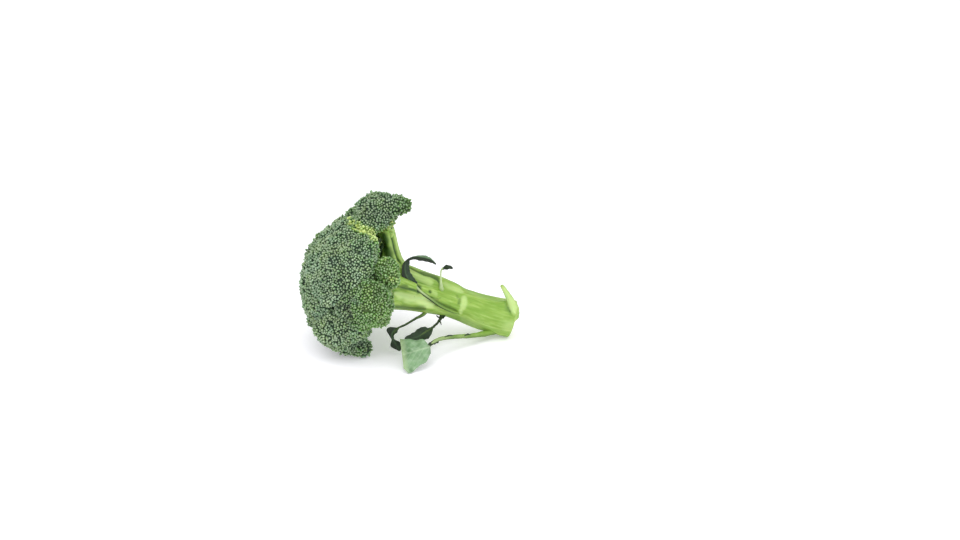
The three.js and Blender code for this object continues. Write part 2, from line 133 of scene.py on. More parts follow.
ELEVATION = math.radians(22)
LENS, SENSOR = 100.0, 36.0
PIXEL = 0.84  # mm of the subject to a pixel of the 960 x 540 frame
WIDE, HIGH = 960, 540
ORIGIN_X, ORIGIN_Y = 409, 345.3  # the pixel in which the part's own origin is seen
DISTANCE = PIXEL * WIDE * LENS / SENSOR
AIM = np.array([(WIDE / 2 - ORIGIN_X) * PIXEL, 0.0, (ORIGIN_Y - HIGH / 2) * PIXEL / math.cos(ELEVATION)])
LOOK = np.array([0.0, math.cos(ELEVATION), -math.sin(ELEVATION)])
EYE = AIM - LOOK * DISTANCE

camera = placed("camera", bpy.data.cameras.new("camera"))
camera.data.lens = LENS
camera.data.sensor_width = SENSOR
camera.data.clip_end = 30.0
camera.location = Vector(row(EYE))
camera.rotation_euler = (math.pi / 2 - ELEVATION, 0.0, 0.0)
bpy.context.scene.camera = camera


def sight(px, py):
    """The direction from the camera through a pixel of the 960 x 540 frame."""
    up = np.array([0.0, math.sin(ELEVATION), math.cos(ELEVATION)])
    across = (px - WIDE / 2) * PIXEL / DISTANCE
    rise = (HIGH / 2 - py) * PIXEL / DISTANCE
    return unit(LOOK + np.array([1.0, 0.0, 0.0]) * across + up * rise)


# --- meshes


def arrays(mesh):
    """A mesh's corners and triangles."""
    mesh.calc_loop_triangles()
    co = np.empty(len(mesh.vertices) * 3)
    mesh.vertices.foreach_get("co", co)
    tris = np.empty(len(mesh.loop_triangles) * 3, np.int64)
    mesh.loop_triangles.foreach_get("vertices", tris)
    return co.reshape(-1, 3), tris.reshape(-1, 3)


def normals_of(co, tris):
    """Corner normals, each face counting by its area."""
    a, b, c = (co[tris[:, k]] for k in range(3))
    face = np.cross(b - a, c - a)
    total = np.zeros_like(co)
    for k in range(3):
        np.add.at(total, tris[:, k], face)
    return units(total)


def triangles(*corners):
    """Triangles from sets of three numbers or grids of numbers of corners."""
    return np.vstack([np.stack([grid.ravel() for grid in np.broadcast_arrays(*three)], 1)
                      for three in corners])


def joined(bodies):
    """Bodies as one: each has corners, triangles and a table of what it carries, which is 0 if not given."""

    def carried(key):
        """What all bodies carry under one name."""
        values = [(given.get(key, 0), len(co)) for co, _, given in bodies]
        return np.concatenate([value if np.ndim(value) else np.full(count, float(value))
                               for value, count in values])

    starts = np.cumsum([0] + [len(co) for co, _, _ in bodies])
    tris = np.vstack([tris + start for (_, tris, _), start in zip(bodies, starts)])
    keys = dict.fromkeys(key for *_, given in bodies for key in given)
    return np.vstack([co for co, _, _ in bodies]), tris, {key: carried(key) for key in keys}


def tree_of(names):
    """A search tree of these CAD nodes' faces."""
    co, tris, _ = joined([(*arrays(NODES[name].data), {}) for name in names])
    return BVHTree.FromPolygons(co.tolist(), tris.tolist())


def search_of(points):
    """A search tree of points, for the one that is nearest."""
    search = KDTree(len(points))
    for k, place in enumerate(points):
        search.insert(Vector(place), k)
    search.balance()
    return search


def smoothed(co, tris, rounds, keep=None):
    """Corners moved towards the mean of their neighbours, except by keep, from 0 to 1, where it is given."""
    edges = np.vstack([tris[:, [0, 1]], tris[:, [1, 2]], tris[:, [2, 0]]])
    edges = np.unique(np.sort(edges, axis=1), axis=0)
    count = np.bincount(edges.ravel(), minlength=len(co)).astype(float)[:, None]
    for _ in range(rounds):
        total = np.zeros_like(co)
        for k in range(3):
            total[:, k] = np.bincount(edges[:, 0], co[edges[:, 1], k], len(co))
            total[:, k] += np.bincount(edges[:, 1], co[edges[:, 0], k], len(co))
        moved = co + 0.5 * (total / np.maximum(count, 1) - co)
        co = moved if keep is None else co * keep[:, None] + moved * (1 - keep[:, None])
    return co


def remeshed(node, voxel):
    """A CAD node's solid as an even mesh, with faces about voxel metres across."""
    mesh = NODES[node].data.copy()
    tool = bmesh.new()
    tool.from_mesh(mesh)
    bmesh.ops.remove_doubles(tool, verts=tool.verts, dist=1e-6)
    tool.to_mesh(mesh)
    tool.free()
    scratch = placed("scratch", mesh)
    even = scratch.modifiers.new("even", "REMESH")
    even.mode = "VOXEL"
    even.voxel_size = voxel
    even.adaptivity = 0.0
    graph = bpy.context.evaluated_depsgraph_get()
    made = bpy.data.meshes.new_from_object(scratch.evaluated_get(graph))
    result = arrays(made)
    bpy.data.objects.remove(scratch)
    bpy.data.meshes.remove(mesh)
    bpy.data.meshes.remove(made)
    return result


def piece(name, body, material, stands_for):
    """A smooth piece of the head that stands for a CAD node."""
    co, tris, carried = body
    mesh = bpy.data.meshes.new(name)
    mesh.vertices.add(len(co))
    mesh.vertices.foreach_set("co", np.asarray(co, np.float32).ravel())
    mesh.loops.add(len(tris) * 3)
    mesh.loops.foreach_set("vertex_index", np.asarray(tris, np.int32).ravel())
    mesh.polygons.add(len(tris))
    mesh.polygons.foreach_set("loop_start", np.arange(0, len(tris) * 3, 3, dtype=np.int32))
    mesh.update(calc_edges=True)
    mesh.validate()
    mesh.shade_smooth()
    for key, values in carried.items():
        values = np.asarray(values, np.float32)
        kind, field = ("FLOAT", "value") if values.ndim == 1 else ("FLOAT_VECTOR", "vector")
        mesh.attributes.new(key, kind, "POINT").data.foreach_set(field, values.ravel())
    mesh.materials.append(material)
    made = placed(name, mesh)
    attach(made, "root")
    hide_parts(stands_for)


# --- curves and tubes

FINE = 60  # places on each stretch of a curve, before they are set at even distances


def curve(points, count):
    """A smooth curve through points: places at even distances along it."""
    p = np.asarray(points, float)
    p = np.vstack([2 * p[0] - p[1], p, 2 * p[-1] - p[-2]])
    fine = []
    for i in range(1, len(p) - 2):
        p0, p1, p2, p3 = p[i - 1 : i + 3]
        d0, d1, d2 = (max(norm(b - a) ** 0.5, 1e-3) for a, b in ((p0, p1), (p1, p2), (p2, p3)))
        t1 = d1 * ((p1 - p0) / d0 - (p2 - p0) / (d0 + d1) + (p2 - p1) / d1)
        t2 = d1 * ((p2 - p1) / d1 - (p3 - p1) / (d1 + d2) + (p3 - p2) / d2)
        t = np.linspace(0, 1, FINE, endpoint=i == len(p) - 3)[:, None]
        fine.append(p1 + t1 * t + (3 * (p2 - p1) - 2 * t1 - t2) * t**2 + (2 * (p1 - p2) + t1 + t2) * t**3)
    fine = np.vstack(fine)
    along = np.concatenate([[0], np.cumsum(norm(np.diff(fine, axis=0), axis=1))])
    spots = np.linspace(0, along[-1], count)
    return np.stack([np.interp(spots, along, fine[:, k]) for k in range(3)], 1)


def course(points, steps):
    """A curve's places and directions, and how far along it they are: from 0 to 1 and in its own unit."""
    line, t = curve(points, steps), np.linspace(0, 1, steps)
    return line, units(np.gradient(line, axis=0)), t, t * norm(np.diff(line, axis=0), axis=1).sum()


def through(values, t):
    """A smooth curve through values at even stations, read at t from 0 to 1."""
    v = np.asarray(values, float)
    slope = np.gradient(v, axis=0)
    x = np.clip(t, 0, 1) * (len(v) - 1)
    k = np.minimum(x.astype(int), len(v) - 2)
    u = (x - k).reshape((-1,) + (1,) * (v.ndim - 1))
    return (v[k] * (1 + 2 * u) * (1 - u) ** 2 + slope[k] * u * (1 - u) ** 2
            + v[k + 1] * u * u * (3 - 2 * u) + slope[k + 1] * u * u * (u - 1))


def waves(x, y, rng, count, low, high):
    """A gentle random relief, about -1 to 1, with waves of low to high mm."""
    total = np.zeros(np.broadcast(x, y).shape)
    for _ in range(count):
        turn, phase = rng.uniform(0, math.pi), rng.uniform(0, math.tau)
        k = math.tau / rng.uniform(low, high)
        total = total + np.sin(k * (x * math.cos(turn) + y * math.sin(turn)) + phase)
    return total / math.sqrt(count)


CHANNEL_WIDE = 0.55  # radians to each side of a channel's middle


def pipe(points, radii, rng, sides=16, steps=64, uneven=0.05, channel=0.0):
    """A closed tube along a curve, a little uneven, with a shallow channel along the side that faces up.

    Gives its corners and triangles, and for each corner how far along it is from 0 to 1, the angle round
    it from the side that faces up, and how far along it is in mm."""
    line, ahead, t, along = course(points, steps)
    normal = units(SKY - ahead * ahead[:, 2:3])
    other = np.cross(ahead, normal)
    turn = np.linspace(0, math.tau, sides, endpoint=False)
    radius = through(radii, t)[:, None] * (1 + uneven * waves(along[:, None], turn * 1.5, rng, 6, 2.5, 9))
    radius = radius * (1 - channel * np.exp(-((np.minimum(turn, math.tau - turn) / CHANNEL_WIDE) ** 2)))
    ring = normal[:, None] * np.cos(turn)[:, None] + other[:, None] * np.sin(turn)[:, None]
    co = (line[:, None] + ring * radius[..., None]).reshape(-1, 3)
    i = np.arange(sides)
    j = (i + 1) % sides
    a = np.arange(steps - 1)[:, None] * sides
    last = (steps - 1) * sides
    tris = triangles((a + i, a + j, a + sides + j), (a + i, a + sides + j, a + sides + i),
                     (len(co), j, i), (len(co) + 1, last + i, last + j))
    places = [np.append(np.repeat(t, sides), [0, 1]), np.append(np.tile(turn, steps), [0, 0]),
              np.append(np.repeat(along, sides), [0, along[-1]])]
    return np.vstack([co, line[0], line[-1]]), tris, *places


# --- materials


def colour(code):
    """A colour written as on a screen, such as "7f9c5a", as Blender's linear red, green, blue and alpha."""
    parts = [int(code[i : i + 2], 16) / 255 for i in (0, 2, 4)]
    return [p / 12.92 if p <= 0.04045 else ((p + 0.055) / 1.055) ** 2.4 for p in parts] + [1.0]


class Paint:
    """A material that is put together node by node."""

    def __init__(self, name):
        self.material = bpy.data.materials.new(name)
        self.material.use_nodes = True
        self.nodes = self.material.node_tree.nodes
        self.shader = self.nodes["Principled BSDF"]

    def put(self, socket, value):
        """Sets a socket, or joins it to another node's."""
        if isinstance(value, bpy.types.NodeSocket):
            self.material.node_tree.links.new(value, socket)
        else:
            socket.default_value = value

    def make(self, kind, **inputs):
        """A node with these inputs, which are written with _ for a space."""
        node = self.nodes.new("ShaderNode" + kind)
        for name, value in inputs.items():
            self.put(node.inputs[name.replace("_", " ")], value)
        return node

    def given(self, name, vector=False):
        """A value that the mesh carries."""
        node = self.make("Attribute")
        node.attribute_name = name
        return node.outputs["Vector" if vector else "Fac"]

    def noise(self, scale, detail, vector=None):
        """A cloudy pattern over the object, or over another vector."""
        place = vector or self.make("TexCoord").outputs["Object"]
        return self.make("TexNoise", Vector=place, Scale=scale, Detail=detail).outputs["Fac"]

    def ramp(self, value, *stops):
        """Colours or values at places from 0 to 1."""
        node = self.make("ValToRGB", Fac=value)
        band = node.color_ramp
        while len(band.elements) < len(stops):
            band.elements.new(1.0)
        for element, (spot, shade) in zip(band.elements, stops):
            element.position = spot
            element.color = colour(shade) if isinstance(shade, str) else [shade] * 3 + [1.0]
        return node.outputs["Color"]

    def fit(self, value, low, high, to_low=0.0, to_high=1.0):
        """value from low to high as to_low to to_high, held at the ends."""
        node = self.make("MapRange", Value=value, From_Min=low, From_Max=high, To_Min=to_low, To_Max=to_high)
        node.interpolation_type = "SMOOTHSTEP"
        return node.outputs["Result"]

    def reckon(self, operation, a, b):
        """A sum or product."""
        node = self.make("Math")
        node.operation = operation
        self.put(node.inputs[0], a)
        self.put(node.inputs[1], b)
        return node.outputs[0]

    def mix(self, share, a, b, how="MIX", kind="RGBA"):
        """Colours or, with the kind VALUE, values: a where share is 0 and b where it is 1."""
        node = self.make("Mix", Factor=share)
        node.data_type = "FLOAT" if kind == "VALUE" else kind
        node.blend_type = how
        node.clamp_result = True
        sockets = [s for s in node.inputs if s.type == kind and s.name != "Factor"]
        for socket, value in zip(sockets, (a, b)):
            self.put(socket, colour(value) if isinstance(value, str) else value)
        return next(s for s in node.outputs if s.type == kind)

    def grained(self, share, shade, pattern):
        """A shade that a fine pattern darkens by up to this share."""
        return self.mix(share, shade, self.ramp(pattern, (0.3, 0.6), (0.7, 1.0)), "MULTIPLY")

    def toned(self, shade, **tones):
        """A shade with each of these tones over it, where the mesh carries the mark of that name."""
        for name, tone in tones.items():
            shade = self.mix(self.given(name), shade, tone)
        return shade

    def bump(self, height, distance, strength):
        """Fine relief, this many metres high."""
        node = self.make("Bump", Strength=strength, Distance=distance, Height=height)
        self.put(self.shader.inputs["Normal"], node.outputs["Normal"])

    def finish(self, base, roughness, specular, **fixed):
        """The material, with these on its shader."""
        self.put(self.shader.inputs["Base Color"], base)
        self.put(self.shader.inputs["Roughness"], roughness)
        self.shader.inputs["Specular IOR Level"].default_value = specular
        for name, value in fixed.items():
            self.shader.inputs[name.replace("_", " ").title()].default_value = value
        return self.material


def bud_material():
    """Buds: waxy grey-green with pale tips that are partly painted highlight, greener and yellower where the
    mesh says fresh, with painted shade at their bases and between them.
    """
    p = Paint("buds")
    tip, tint, fresh = p.given("tip"), p.given("tint"), p.given("fresh")
    patch = p.noise(60, 3)
    waxy = p.ramp(patch, (0.3, "7b9a70"), (0.5, "88a682"), (0.7, "a0b899"))
    green = p.ramp(patch, (0.3, "669946"), (0.7, "85b75e"))
    flesh = p.mix(p.fit(fresh, 0.05, 0.55), waxy, green)
    flesh = p.mix(p.fit(fresh, 0.55, 0.95), flesh, "e0f29a")
    hue = p.ramp(p.given("hue"), (0.0, "e4f6f8"), (0.5, "f6fdec"), (1.0, "fffbd0"))
    flesh = p.mix(1.0, flesh, hue, "MULTIPLY")
    # pale: the tips' waxy bloom and a painted highlight on them; deep: painted shade at the buds' bases and
    # on the mass between them.
    pale = p.mix(p.fit(fresh, 0.3, 1.0), "d9e8cc", "eef5b4")
    deep = p.mix(p.fit(fresh, 0.2, 1.0), "22402c", "9cba48")
    shade = p.mix(p.fit(tip, 0.0, 0.42), deep, flesh)
    shade = p.mix(p.fit(tip, 0.6, 1.0, 0.0, 0.46), shade, pale)
    shade = p.mix(1.0, shade, p.ramp(tint, (0.0, 0.3), (0.5, 0.8), (1.0, 1.0)), "MULTIPLY")
    mottle = p.noise(1400, 2)
    shade = p.grained(0.3, shade, mottle)
    p.bump(mottle, 0.00012, 0.6)
    return p.finish(shade, p.fit(mottle, 0.3, 0.7, 0.5, 0.72), 0.35)


def stalk_material():
    """Smooth yellow-green flesh with fibres along it, darker in its grooves and pale where it is cut, with
    painted shade, painted highlight and paler colour where the mesh carries dark and pale marks.
    """
    p = Paint("stalk")
    trunk, branch, share = p.given("flow", vector=True), p.given("branch", vector=True), p.given("share")
    fibre, broad = (
        p.mix(share, p.noise(scale, detail, trunk), p.noise(scale, detail, branch), kind="VALUE")
        for scale, detail in ((9, 5), (2.6, 3)))
    patch = p.noise(38, 3)
    shade = p.ramp(fibre, (0.3, "7fa53c"), (0.5, "93b74f"), (0.72, "b0cd73"))
    shade = p.mix(p.fit(broad, 0.42, 0.66, 0.0, 0.8), shade, "7aa238")
    shade = p.mix(p.fit(patch, 0.5, 0.72, 0.0, 0.55), shade, "b6d180")
    # The dark marks are mostly painted shade, the pale ones partly painted highlight.
    shade = p.toned(shade, groove="52792c", pale="d3eb9f", dark="264a18")
    speck = p.fit(p.noise(420, 1), 0.73, 0.78, 0.0, 0.5)
    shade = p.mix(speck, shade, "64883a")
    ring = p.given("ring")
    face = p.mix(p.fit(ring, 0.74, 0.84), "d4deb2", "bcd08c")
    face = p.mix(p.fit(ring, 0.88, 0.97), face, "9fbf60")
    face = p.mix(p.fit(p.noise(260, 3), 0.45, 0.75, 0.0, 0.4), face, "b5b182")
    shade = p.toned(shade, cut=face)
    fine = p.reckon("ADD", p.reckon("MULTIPLY", fibre, 0.7), p.reckon("MULTIPLY", p.noise(500, 3), 0.3))
    p.bump(fine, 0.0007, 0.5)
    return p.finish(shade, p.fit(p.noise(120, 3), 0.3, 0.7, 0.4, 0.56), 0.36,
                    subsurface_weight=0.12, subsurface_scale=0.004)


def leaf_material(name, front, back, vein, stem, bloom):
    """A leaf, dark above and waxy beneath: the mesh says which side, where the veins run and what is stem."""
    p = Paint(name)
    patch = p.noise(110, 4)
    over = p.mix(p.fit(patch, 0.35, 0.65), *front)
    under = p.mix(p.fit(patch, 0.35, 0.65), *back)
    shade = p.toned(over, under=under)
    waxy = p.reckon("MULTIPLY", p.given("bloom"), p.fit(p.noise(160, 4), 0.32, 0.68, 0.2, 1.0))
    shade = p.mix(waxy, shade, bloom)
    flesh = p.mix(p.fit(p.noise(150, 3), 0.35, 0.7), *stem)
    # dark is the leaves' own dark parts and also painted shade, on the strap's far half and the stems'
    # undersides.
    shade = p.toned(shade, vein=vein, stem=flesh, foot="8cb44a", pale="c6d9a2", dark="17290f")
    cells = p.noise(1100, 3)
    shade = p.grained(0.25, shade, cells)
    p.bump(p.reckon("ADD", cells, p.reckon("MULTIPLY", patch, 2.0)), 0.0003, 0.5)
    return p.finish(shade, p.fit(cells, 0.3, 0.7, 0.42, 0.62), 0.4)


BUDS = bud_material()
FLESH = stalk_material()
DARK_LEAF = leaf_material("leaf_dark", ("182a16", "263d22"), ("567550", "77966e"), "466540",
                          ("5a8438", "7ea04e"), "4a6b50")
PALE_LEAF = leaf_material("leaf_pale", ("3f6243", "52764f"), ("648a5c", "84aa7c"), "b3cda6",
                          ("7a9f4a", "9ab868"), "a3c09c")

# --- florets and the stems under them

BUD_GAP = 1.6 * MM  # least distance between two buds
CLUSTER_GAP = 3.8 * MM  # least distance between two clusters of buds
CLUSTER_RISE = 0.9 * MM  # of a cluster's middle over its edge
LOBE_GAP = 9.5 * MM  # least distance between two lobes, each of several clusters
LOBE_RISE = 0.9 * MM
TUFT_GAP = 2.3 * MM  # least distance between two tufts, whose buds are alike in tone
TINGE_GAP = 6.5 * MM  # least distance between two patches that differ in hue
BUD_RADIUS = 1.1 * MM
HIDDEN = 0.8 * MM  # a bud with another floret this close in front of it isn't grown
GAPS = 0.05  # share of the clusters that lie deeper, with painted shade on their buds, which makes a dark gap
PITS = 0.025  # share of the buds that are missing
SUNK = 1.0 * MM  # how far the buds of a gap lie deeper
CORE_DEPTH = 0.5 * MM  # of the mass that the buds stand on, under the floret's own surface
BED_DEPTH = 0.35 * MM  # of the mass under the middles of the buds that lie low
PRESSED = 3.0 * MM  # two masses this close are pressed on each other, deeper in than their buds
UNGROWN = 1.5 * BUD_GAP  # a place of the mass with no bud this close is pressed on its neighbour
FACING = 0.3  # least cosine between its normal and the way to the neighbour
FLORET_VOXEL = 1.25 * MM  # about how large the mass's faces are
TRIES = 12  # how many places are tried for each bud
GROUP_REACH = 0.62  # how far a cluster or lobe goes from its middle, in gaps
# Of clusters, lobes, tufts and patches of one hue: which of the places are tried, and the gap.
GROUPS = ((1, CLUSTER_GAP), (12, LOBE_GAP), (3, TUFT_GAP), (12, TINGE_GAP))
BUDLESS = 0.6  # mm over a floret's base in which no buds grow between its stems
RINGS = ((-0.9, 0.7), (0.3, 1.0), (1.0, 0.66))  # height and radius of a bud's rings, in bud radii
TIP = 1.38  # height of a bud's tip, in bud radii
SIDES = 6

# The yellow-green strip of young florets in the crease under the highest floret: seen at these pixels.
YOUNG = ((348, 219, 5.4), (352, 222, 6.4), (357, 227, 6.8), (363, 231, 7.0), (369, 233, 7.2), (374, 237, 5.6))
PALE_RIM = ((391.5, 221, 3.4), (392.5, 226, 3.4))  # pale buds over the highest floret's branch
# Gaps between the florets, seen at these pixels, whose buds lie deeper and are painted dark as shade, and the
# wider spots of painted shade round them.
DENTS = ((349, 306, 2.6), (351, 312, 3.0), (353, 318, 2.4), (346, 226, 2.2), (341, 290, 1.8),
         (372, 284, 2.2), (333, 306, 1.6), (362, 262, 1.6), (378, 248, 3.4), (381, 256, 3.0),
         (377.5, 242, 2.0))
SHADE_SPOTS = ((345, 288, 5.0), (347, 298, 5.5), (350, 309, 7.0), (350, 320, 7.0), (375, 292, 5.0),
           (381, 240, 5.0), (381, 250, 6.0), (352, 341, 6.0), (360, 346, 12.0))
# How light the buds of these florets are; the others are at 1.
SHADES = {"floret_front": 0.67, "floret_front_high": 0.87, "floret_top": 0.74, "floret_dome_high": 0.9}


def bud_form():
    """One bud's corners, triangles and how far up it each corner is."""
    corners = []
    for ring, (height, radius) in enumerate(RINGS):
        turns = [math.tau * (i + 0.5 * (ring % 2)) / SIDES for i in range(SIDES)]
        corners += [(radius * math.cos(turn), radius * math.sin(turn), height) for turn in turns]
    corners = np.array([*corners, (0.0, 0.0, TIP)])
    faces = [(0, k + 1, k) for k in range(1, SIDES - 1)]
    for ring in range(len(RINGS) - 1):
        for i in range(SIDES):
            a, b = ring * SIDES + i, ring * SIDES + (i + 1) % SIDES
            faces += [(a, b, b + SIDES), (a, b + SIDES, a + SIDES)]
    last = (len(RINGS) - 1) * SIDES
    faces += [(last + i, last + (i + 1) % SIDES, len(corners) - 1) for i in range(SIDES)]
    return corners, np.array(faces), (corners[:, 2] - RINGS[0][0]) / (TIP - RINGS[0][0])


FORM, FORM_FACES, FORM_UP = bud_form()


def thrown(points, gap):
    """The indices of those points that are no closer than gap to one taken before."""
    cells, kept = {}, []
    keys = np.floor(points / gap).astype(int).tolist()
    nearby = [(i, j, k) for i in (-1, 0, 1) for j in (-1, 0, 1) for k in (-1, 0, 1)]
    least = gap * gap
    for index, (point, (x, y, z)) in enumerate(zip(points.tolist(), keys)):
        if all((point[0] - other[0]) ** 2 + (point[1] - other[1]) ** 2 + (point[2] - other[2]) ** 2 >= least
               for i, j, k in nearby for other in cells.get((x + i, y + j, z + k), ())):
            cells.setdefault((x, y, z), []).append(point)
            kept.append(index)
    return np.array(kept)


def scattered(co, tris, normals, count, rng):
    """Random points on a mesh with their normals."""
    a, b, c = (co[tris[:, k]] for k in range(3))
    area = norm(np.cross(b - a, c - a), axis=1)
    pick = rng.choice(len(tris), count, p=area / area.sum())
    u, v = rng.random(count), rng.random(count)
    u, v = np.where(u + v > 1, 1 - u, u), np.where(u + v > 1, 1 - v, v)
    w = 1 - u - v
    share = np.stack([w, u, v], 1)[:, :, None]
    points = (co[tris[pick]] * share).sum(1)
    facing = (normals[tris[pick]] * share).sum(1)
    return points, units(facing), area.sum() / 2


def seen(px, py, tree):
    """Where the camera's line through a pixel meets the head, in metres, or None."""
    hit = tree.ray_cast(Vector(row(EYE)), Vector(sight(px, py)))
    return None if hit[0] is None else np.array(hit[0])


def near(points, spots):
    """From 1 at the middle of the nearest of these (place, radius) spots to 0 at its edge."""
    share = np.zeros(len(points))
    for place, radius in spots:
        d = norm(points - place, axis=1) / radius
        share = np.maximum(share, np.clip(1.6 - 1.6 * d, 0, 1))
    return share


every_floret = tree_of(FLORETS)


def spots(marks):
    """Where the camera sees these (pixel, pixel, radius in mm) marks on the florets."""
    found = [(seen(px, py, every_floret), radius * MM) for px, py, radius in marks]
    return [(place, radius) for place, radius in found if place is not None]


young, pale_rim, dents, shade_spots = spots(YOUNG), spots(PALE_RIM), spots(DENTS), spots(SHADE_SPOTS)


FAN = 11  # how many stems spread from the end of a branch
LIMB_ENDS = {"floret_top": 7.4, "floret_front": 11.0}
LIMB_END = 9.0  # mm, the other branches' radius where they end
LIMB_FEET = {"floret_top": np.array([-19.8, 8, 104.8])}  # where a branch ends off the middle of its floret
STEM_RADII = [2.6, 2.5, 2.0, 1.5, 0.9]
FORK_RADII = [1.7, 1.5, 1.2, 0.8]
# Where a stem starts: mm before the end of its branch, and how far out in the branch's radii.
STEM_STARTS = ((8, 0.75), (2.4, 0.95))
STEM_SINKS = (0.4, 2.2)  # mm that a stem lies in its floret where it meets it and where it ends
FORK_SINKS = (0.5, 2.0)
STEM_ROOM = 2.5 * MM  # a stem with another floret this close in front of it isn't grown
UNDERSIDE = 0.8  # mm over a floret's base up to which its surface is its flat underside
BARE = 0.74  # share of a stem's length along which no buds grow
BESIDE = 0.3  # mm beside a stem in which no buds grow
UNSTEMMED = 2.2  # no stem comes this close to the young florets, in radii of their spots


def fan(name, seed):
    """Thin stems from the end of a floret's branch out to its lowest buds: their points and radii in mm."""
    rng = np.random.default_rng(seed)
    middle = BASE[name] + OUT[name] * FLORETS[name][3]
    mass, others = tree_of([name]), tree_of([n for n in FLORETS if n != name])
    thick, foot = LIMB_ENDS.get(name, LIMB_END), LIMB_FEET.get(name, BASE[name])
    side = unit(np.cross(OUT[name], (0.3, 0.2, 1.0)))
    other = np.cross(OUT[name], side)

    def outward(turn):
        """The direction square to the branch, this far round it."""
        return side * math.cos(turn) + other * math.sin(turn)

    def under(angle, turn, sink):
        """The point of the floret's surface this angle off its branch, sunk by so much, if it is free."""
        u = -OUT[name] * math.cos(angle) + outward(turn) * math.sin(angle)
        hit = mass.ray_cast(Vector(row(middle)), Vector(u))[0]
        if hit is None or others.ray_cast(hit, Vector(u), STEM_ROOM)[0] is not None:
            return None
        return own_of(np.array(hit)) - u * sink

    def edge(turn):
        """The angle at which the floret's flat underside ends."""
        for angle in np.radians(np.arange(24, 90, 3)):
            place = under(angle, turn, 0.0)
            if place is not None and (place - BASE[name]) @ OUT[name] > UNDERSIDE:
                return angle
        return None

    stems, wider = [], [(place, UNSTEMMED * radius) for place, radius in young]
    for k in range(FAN):
        turn = math.tau * (k + rng.uniform(-0.25, 0.25)) / FAN
        swing = turn + rng.choice((-1, 1)) * rng.uniform(0.22, 0.34)
        first, length, far = edge(turn), rng.uniform(0.2, 0.36), rng.uniform(0.18, 0.3)
        if first is None:
            continue
        start = [foot - OUT[name] * back + outward(turn) * out * thick for back, out in STEM_STARTS]
        ends = [under(first + 0.02, turn, STEM_SINKS[0]),
                under(first + length, turn + 0.3 * (swing - turn), STEM_SINKS[1])]
        if ends[0] is None or ends[1] is None:
            continue
        reach = norm(np.cross(ends[0] - foot, OUT[name]))
        if reach < thick or near(row(ends[0])[None], wider)[0] > 0:
            continue
        start.append((start[1] + ends[0]) / 2)
        stems.append((start + ends, STEM_RADII))
        branch = [under(first + 0.04, turn + 0.6 * (swing - turn), FORK_SINKS[0]),
                  under(first + far, swing, FORK_SINKS[1])]
        if branch[0] is not None and branch[1] is not None:
            stems.append((start[1:] + branch, FORK_RADII))
    return stems


FANS = {name: fan(name, 300 + k) for k, (name, (tilt, *_)) in enumerate(FLORETS.items()) if tilt >= RIM_TILT}

RIM_HIGH = 9  # mm over a floret's base in which it is greener
FRESH_ALL = {"floret_front_high": 0.34, "floret_back_high": 0.12}  # how green a floret is all over
FRESH_LEAST = 0.04  # the others
# Greener to the right: by how much, from which x in mm and over how many mm, for all and for single ones.
FRESH_INWARD = (0.16, -62, 30)
FRESH_RIGHT = {"floret_front": (0.26, -56, 22), "floret_top": (0.25, -16, 12)}


def freshness(name, points):
    """How green and yellow the buds are at these points: most at the rim and in the young strip."""
    own = own_of(points)

    def rising(most, start, width):
        """From 0 where x is start to most where it is width further."""
        return most * np.clip((own[:, 0] - start) / width, 0, 1)

    rim = np.clip(1 - (own - BASE[name]) @ OUT[name] / RIM_HIGH, 0, 1)
    inward = rising(*FRESH_INWARD) * (0.5 if name == "floret_top" else 1)
    right = rising(*FRESH_RIGHT.get(name, (0, 0, 1)))
    spotted = 0.95 * near(points, young) + 0.5 * near(points, pale_rim)
    return np.clip(FRESH_ALL.get(name, FRESH_LEAST) + inward + right + 0.5 * rim + spotted, 0, 1)


def grouped(points, every, gap):
    """Middles gap apart, and which of them each point is nearest to."""
    middles = every[thrown(every, gap)]
    search = search_of(middles)
    return middles, np.array([search.find(Vector(point))[1] for point in points])


def bed(co, normals, points, rise, others):
    """How far the mass of a floret moves out, to lie under its low buds and be pressed on its neighbours."""
    search = search_of(points)
    found = [search.find(Vector(place)) for place in co]
    under = np.minimum(rise[[k for _, k, _ in found]] - BED_DEPTH, 0)
    deep = np.array([distance for *_, distance in found]) > UNGROWN
    moved = np.where(deep, 0, under)
    for k in np.flatnonzero(deep):
        hit, _, _, gap = others.find_nearest(Vector(co[k]), PRESSED)
        if hit is not None and (np.array(hit) - co[k]) @ normals[k] > FACING * gap:
            moved[k] = gap
    return moved


def clear_of(points, stems):
    """Whether each point, in metres, keeps clear of these stems, whose points and radii are in mm."""
    clear = np.ones(len(points), bool)
    for path, radii in stems:
        line = curve(path, 30)[: int(30 * BARE)]
        reach = through(radii, np.linspace(0, BARE, len(line))) + BESIDE
        d = norm(own_of(points[:, None]) - line[None], axis=2) - reach
        clear &= d.min(1) > 0
    return clear


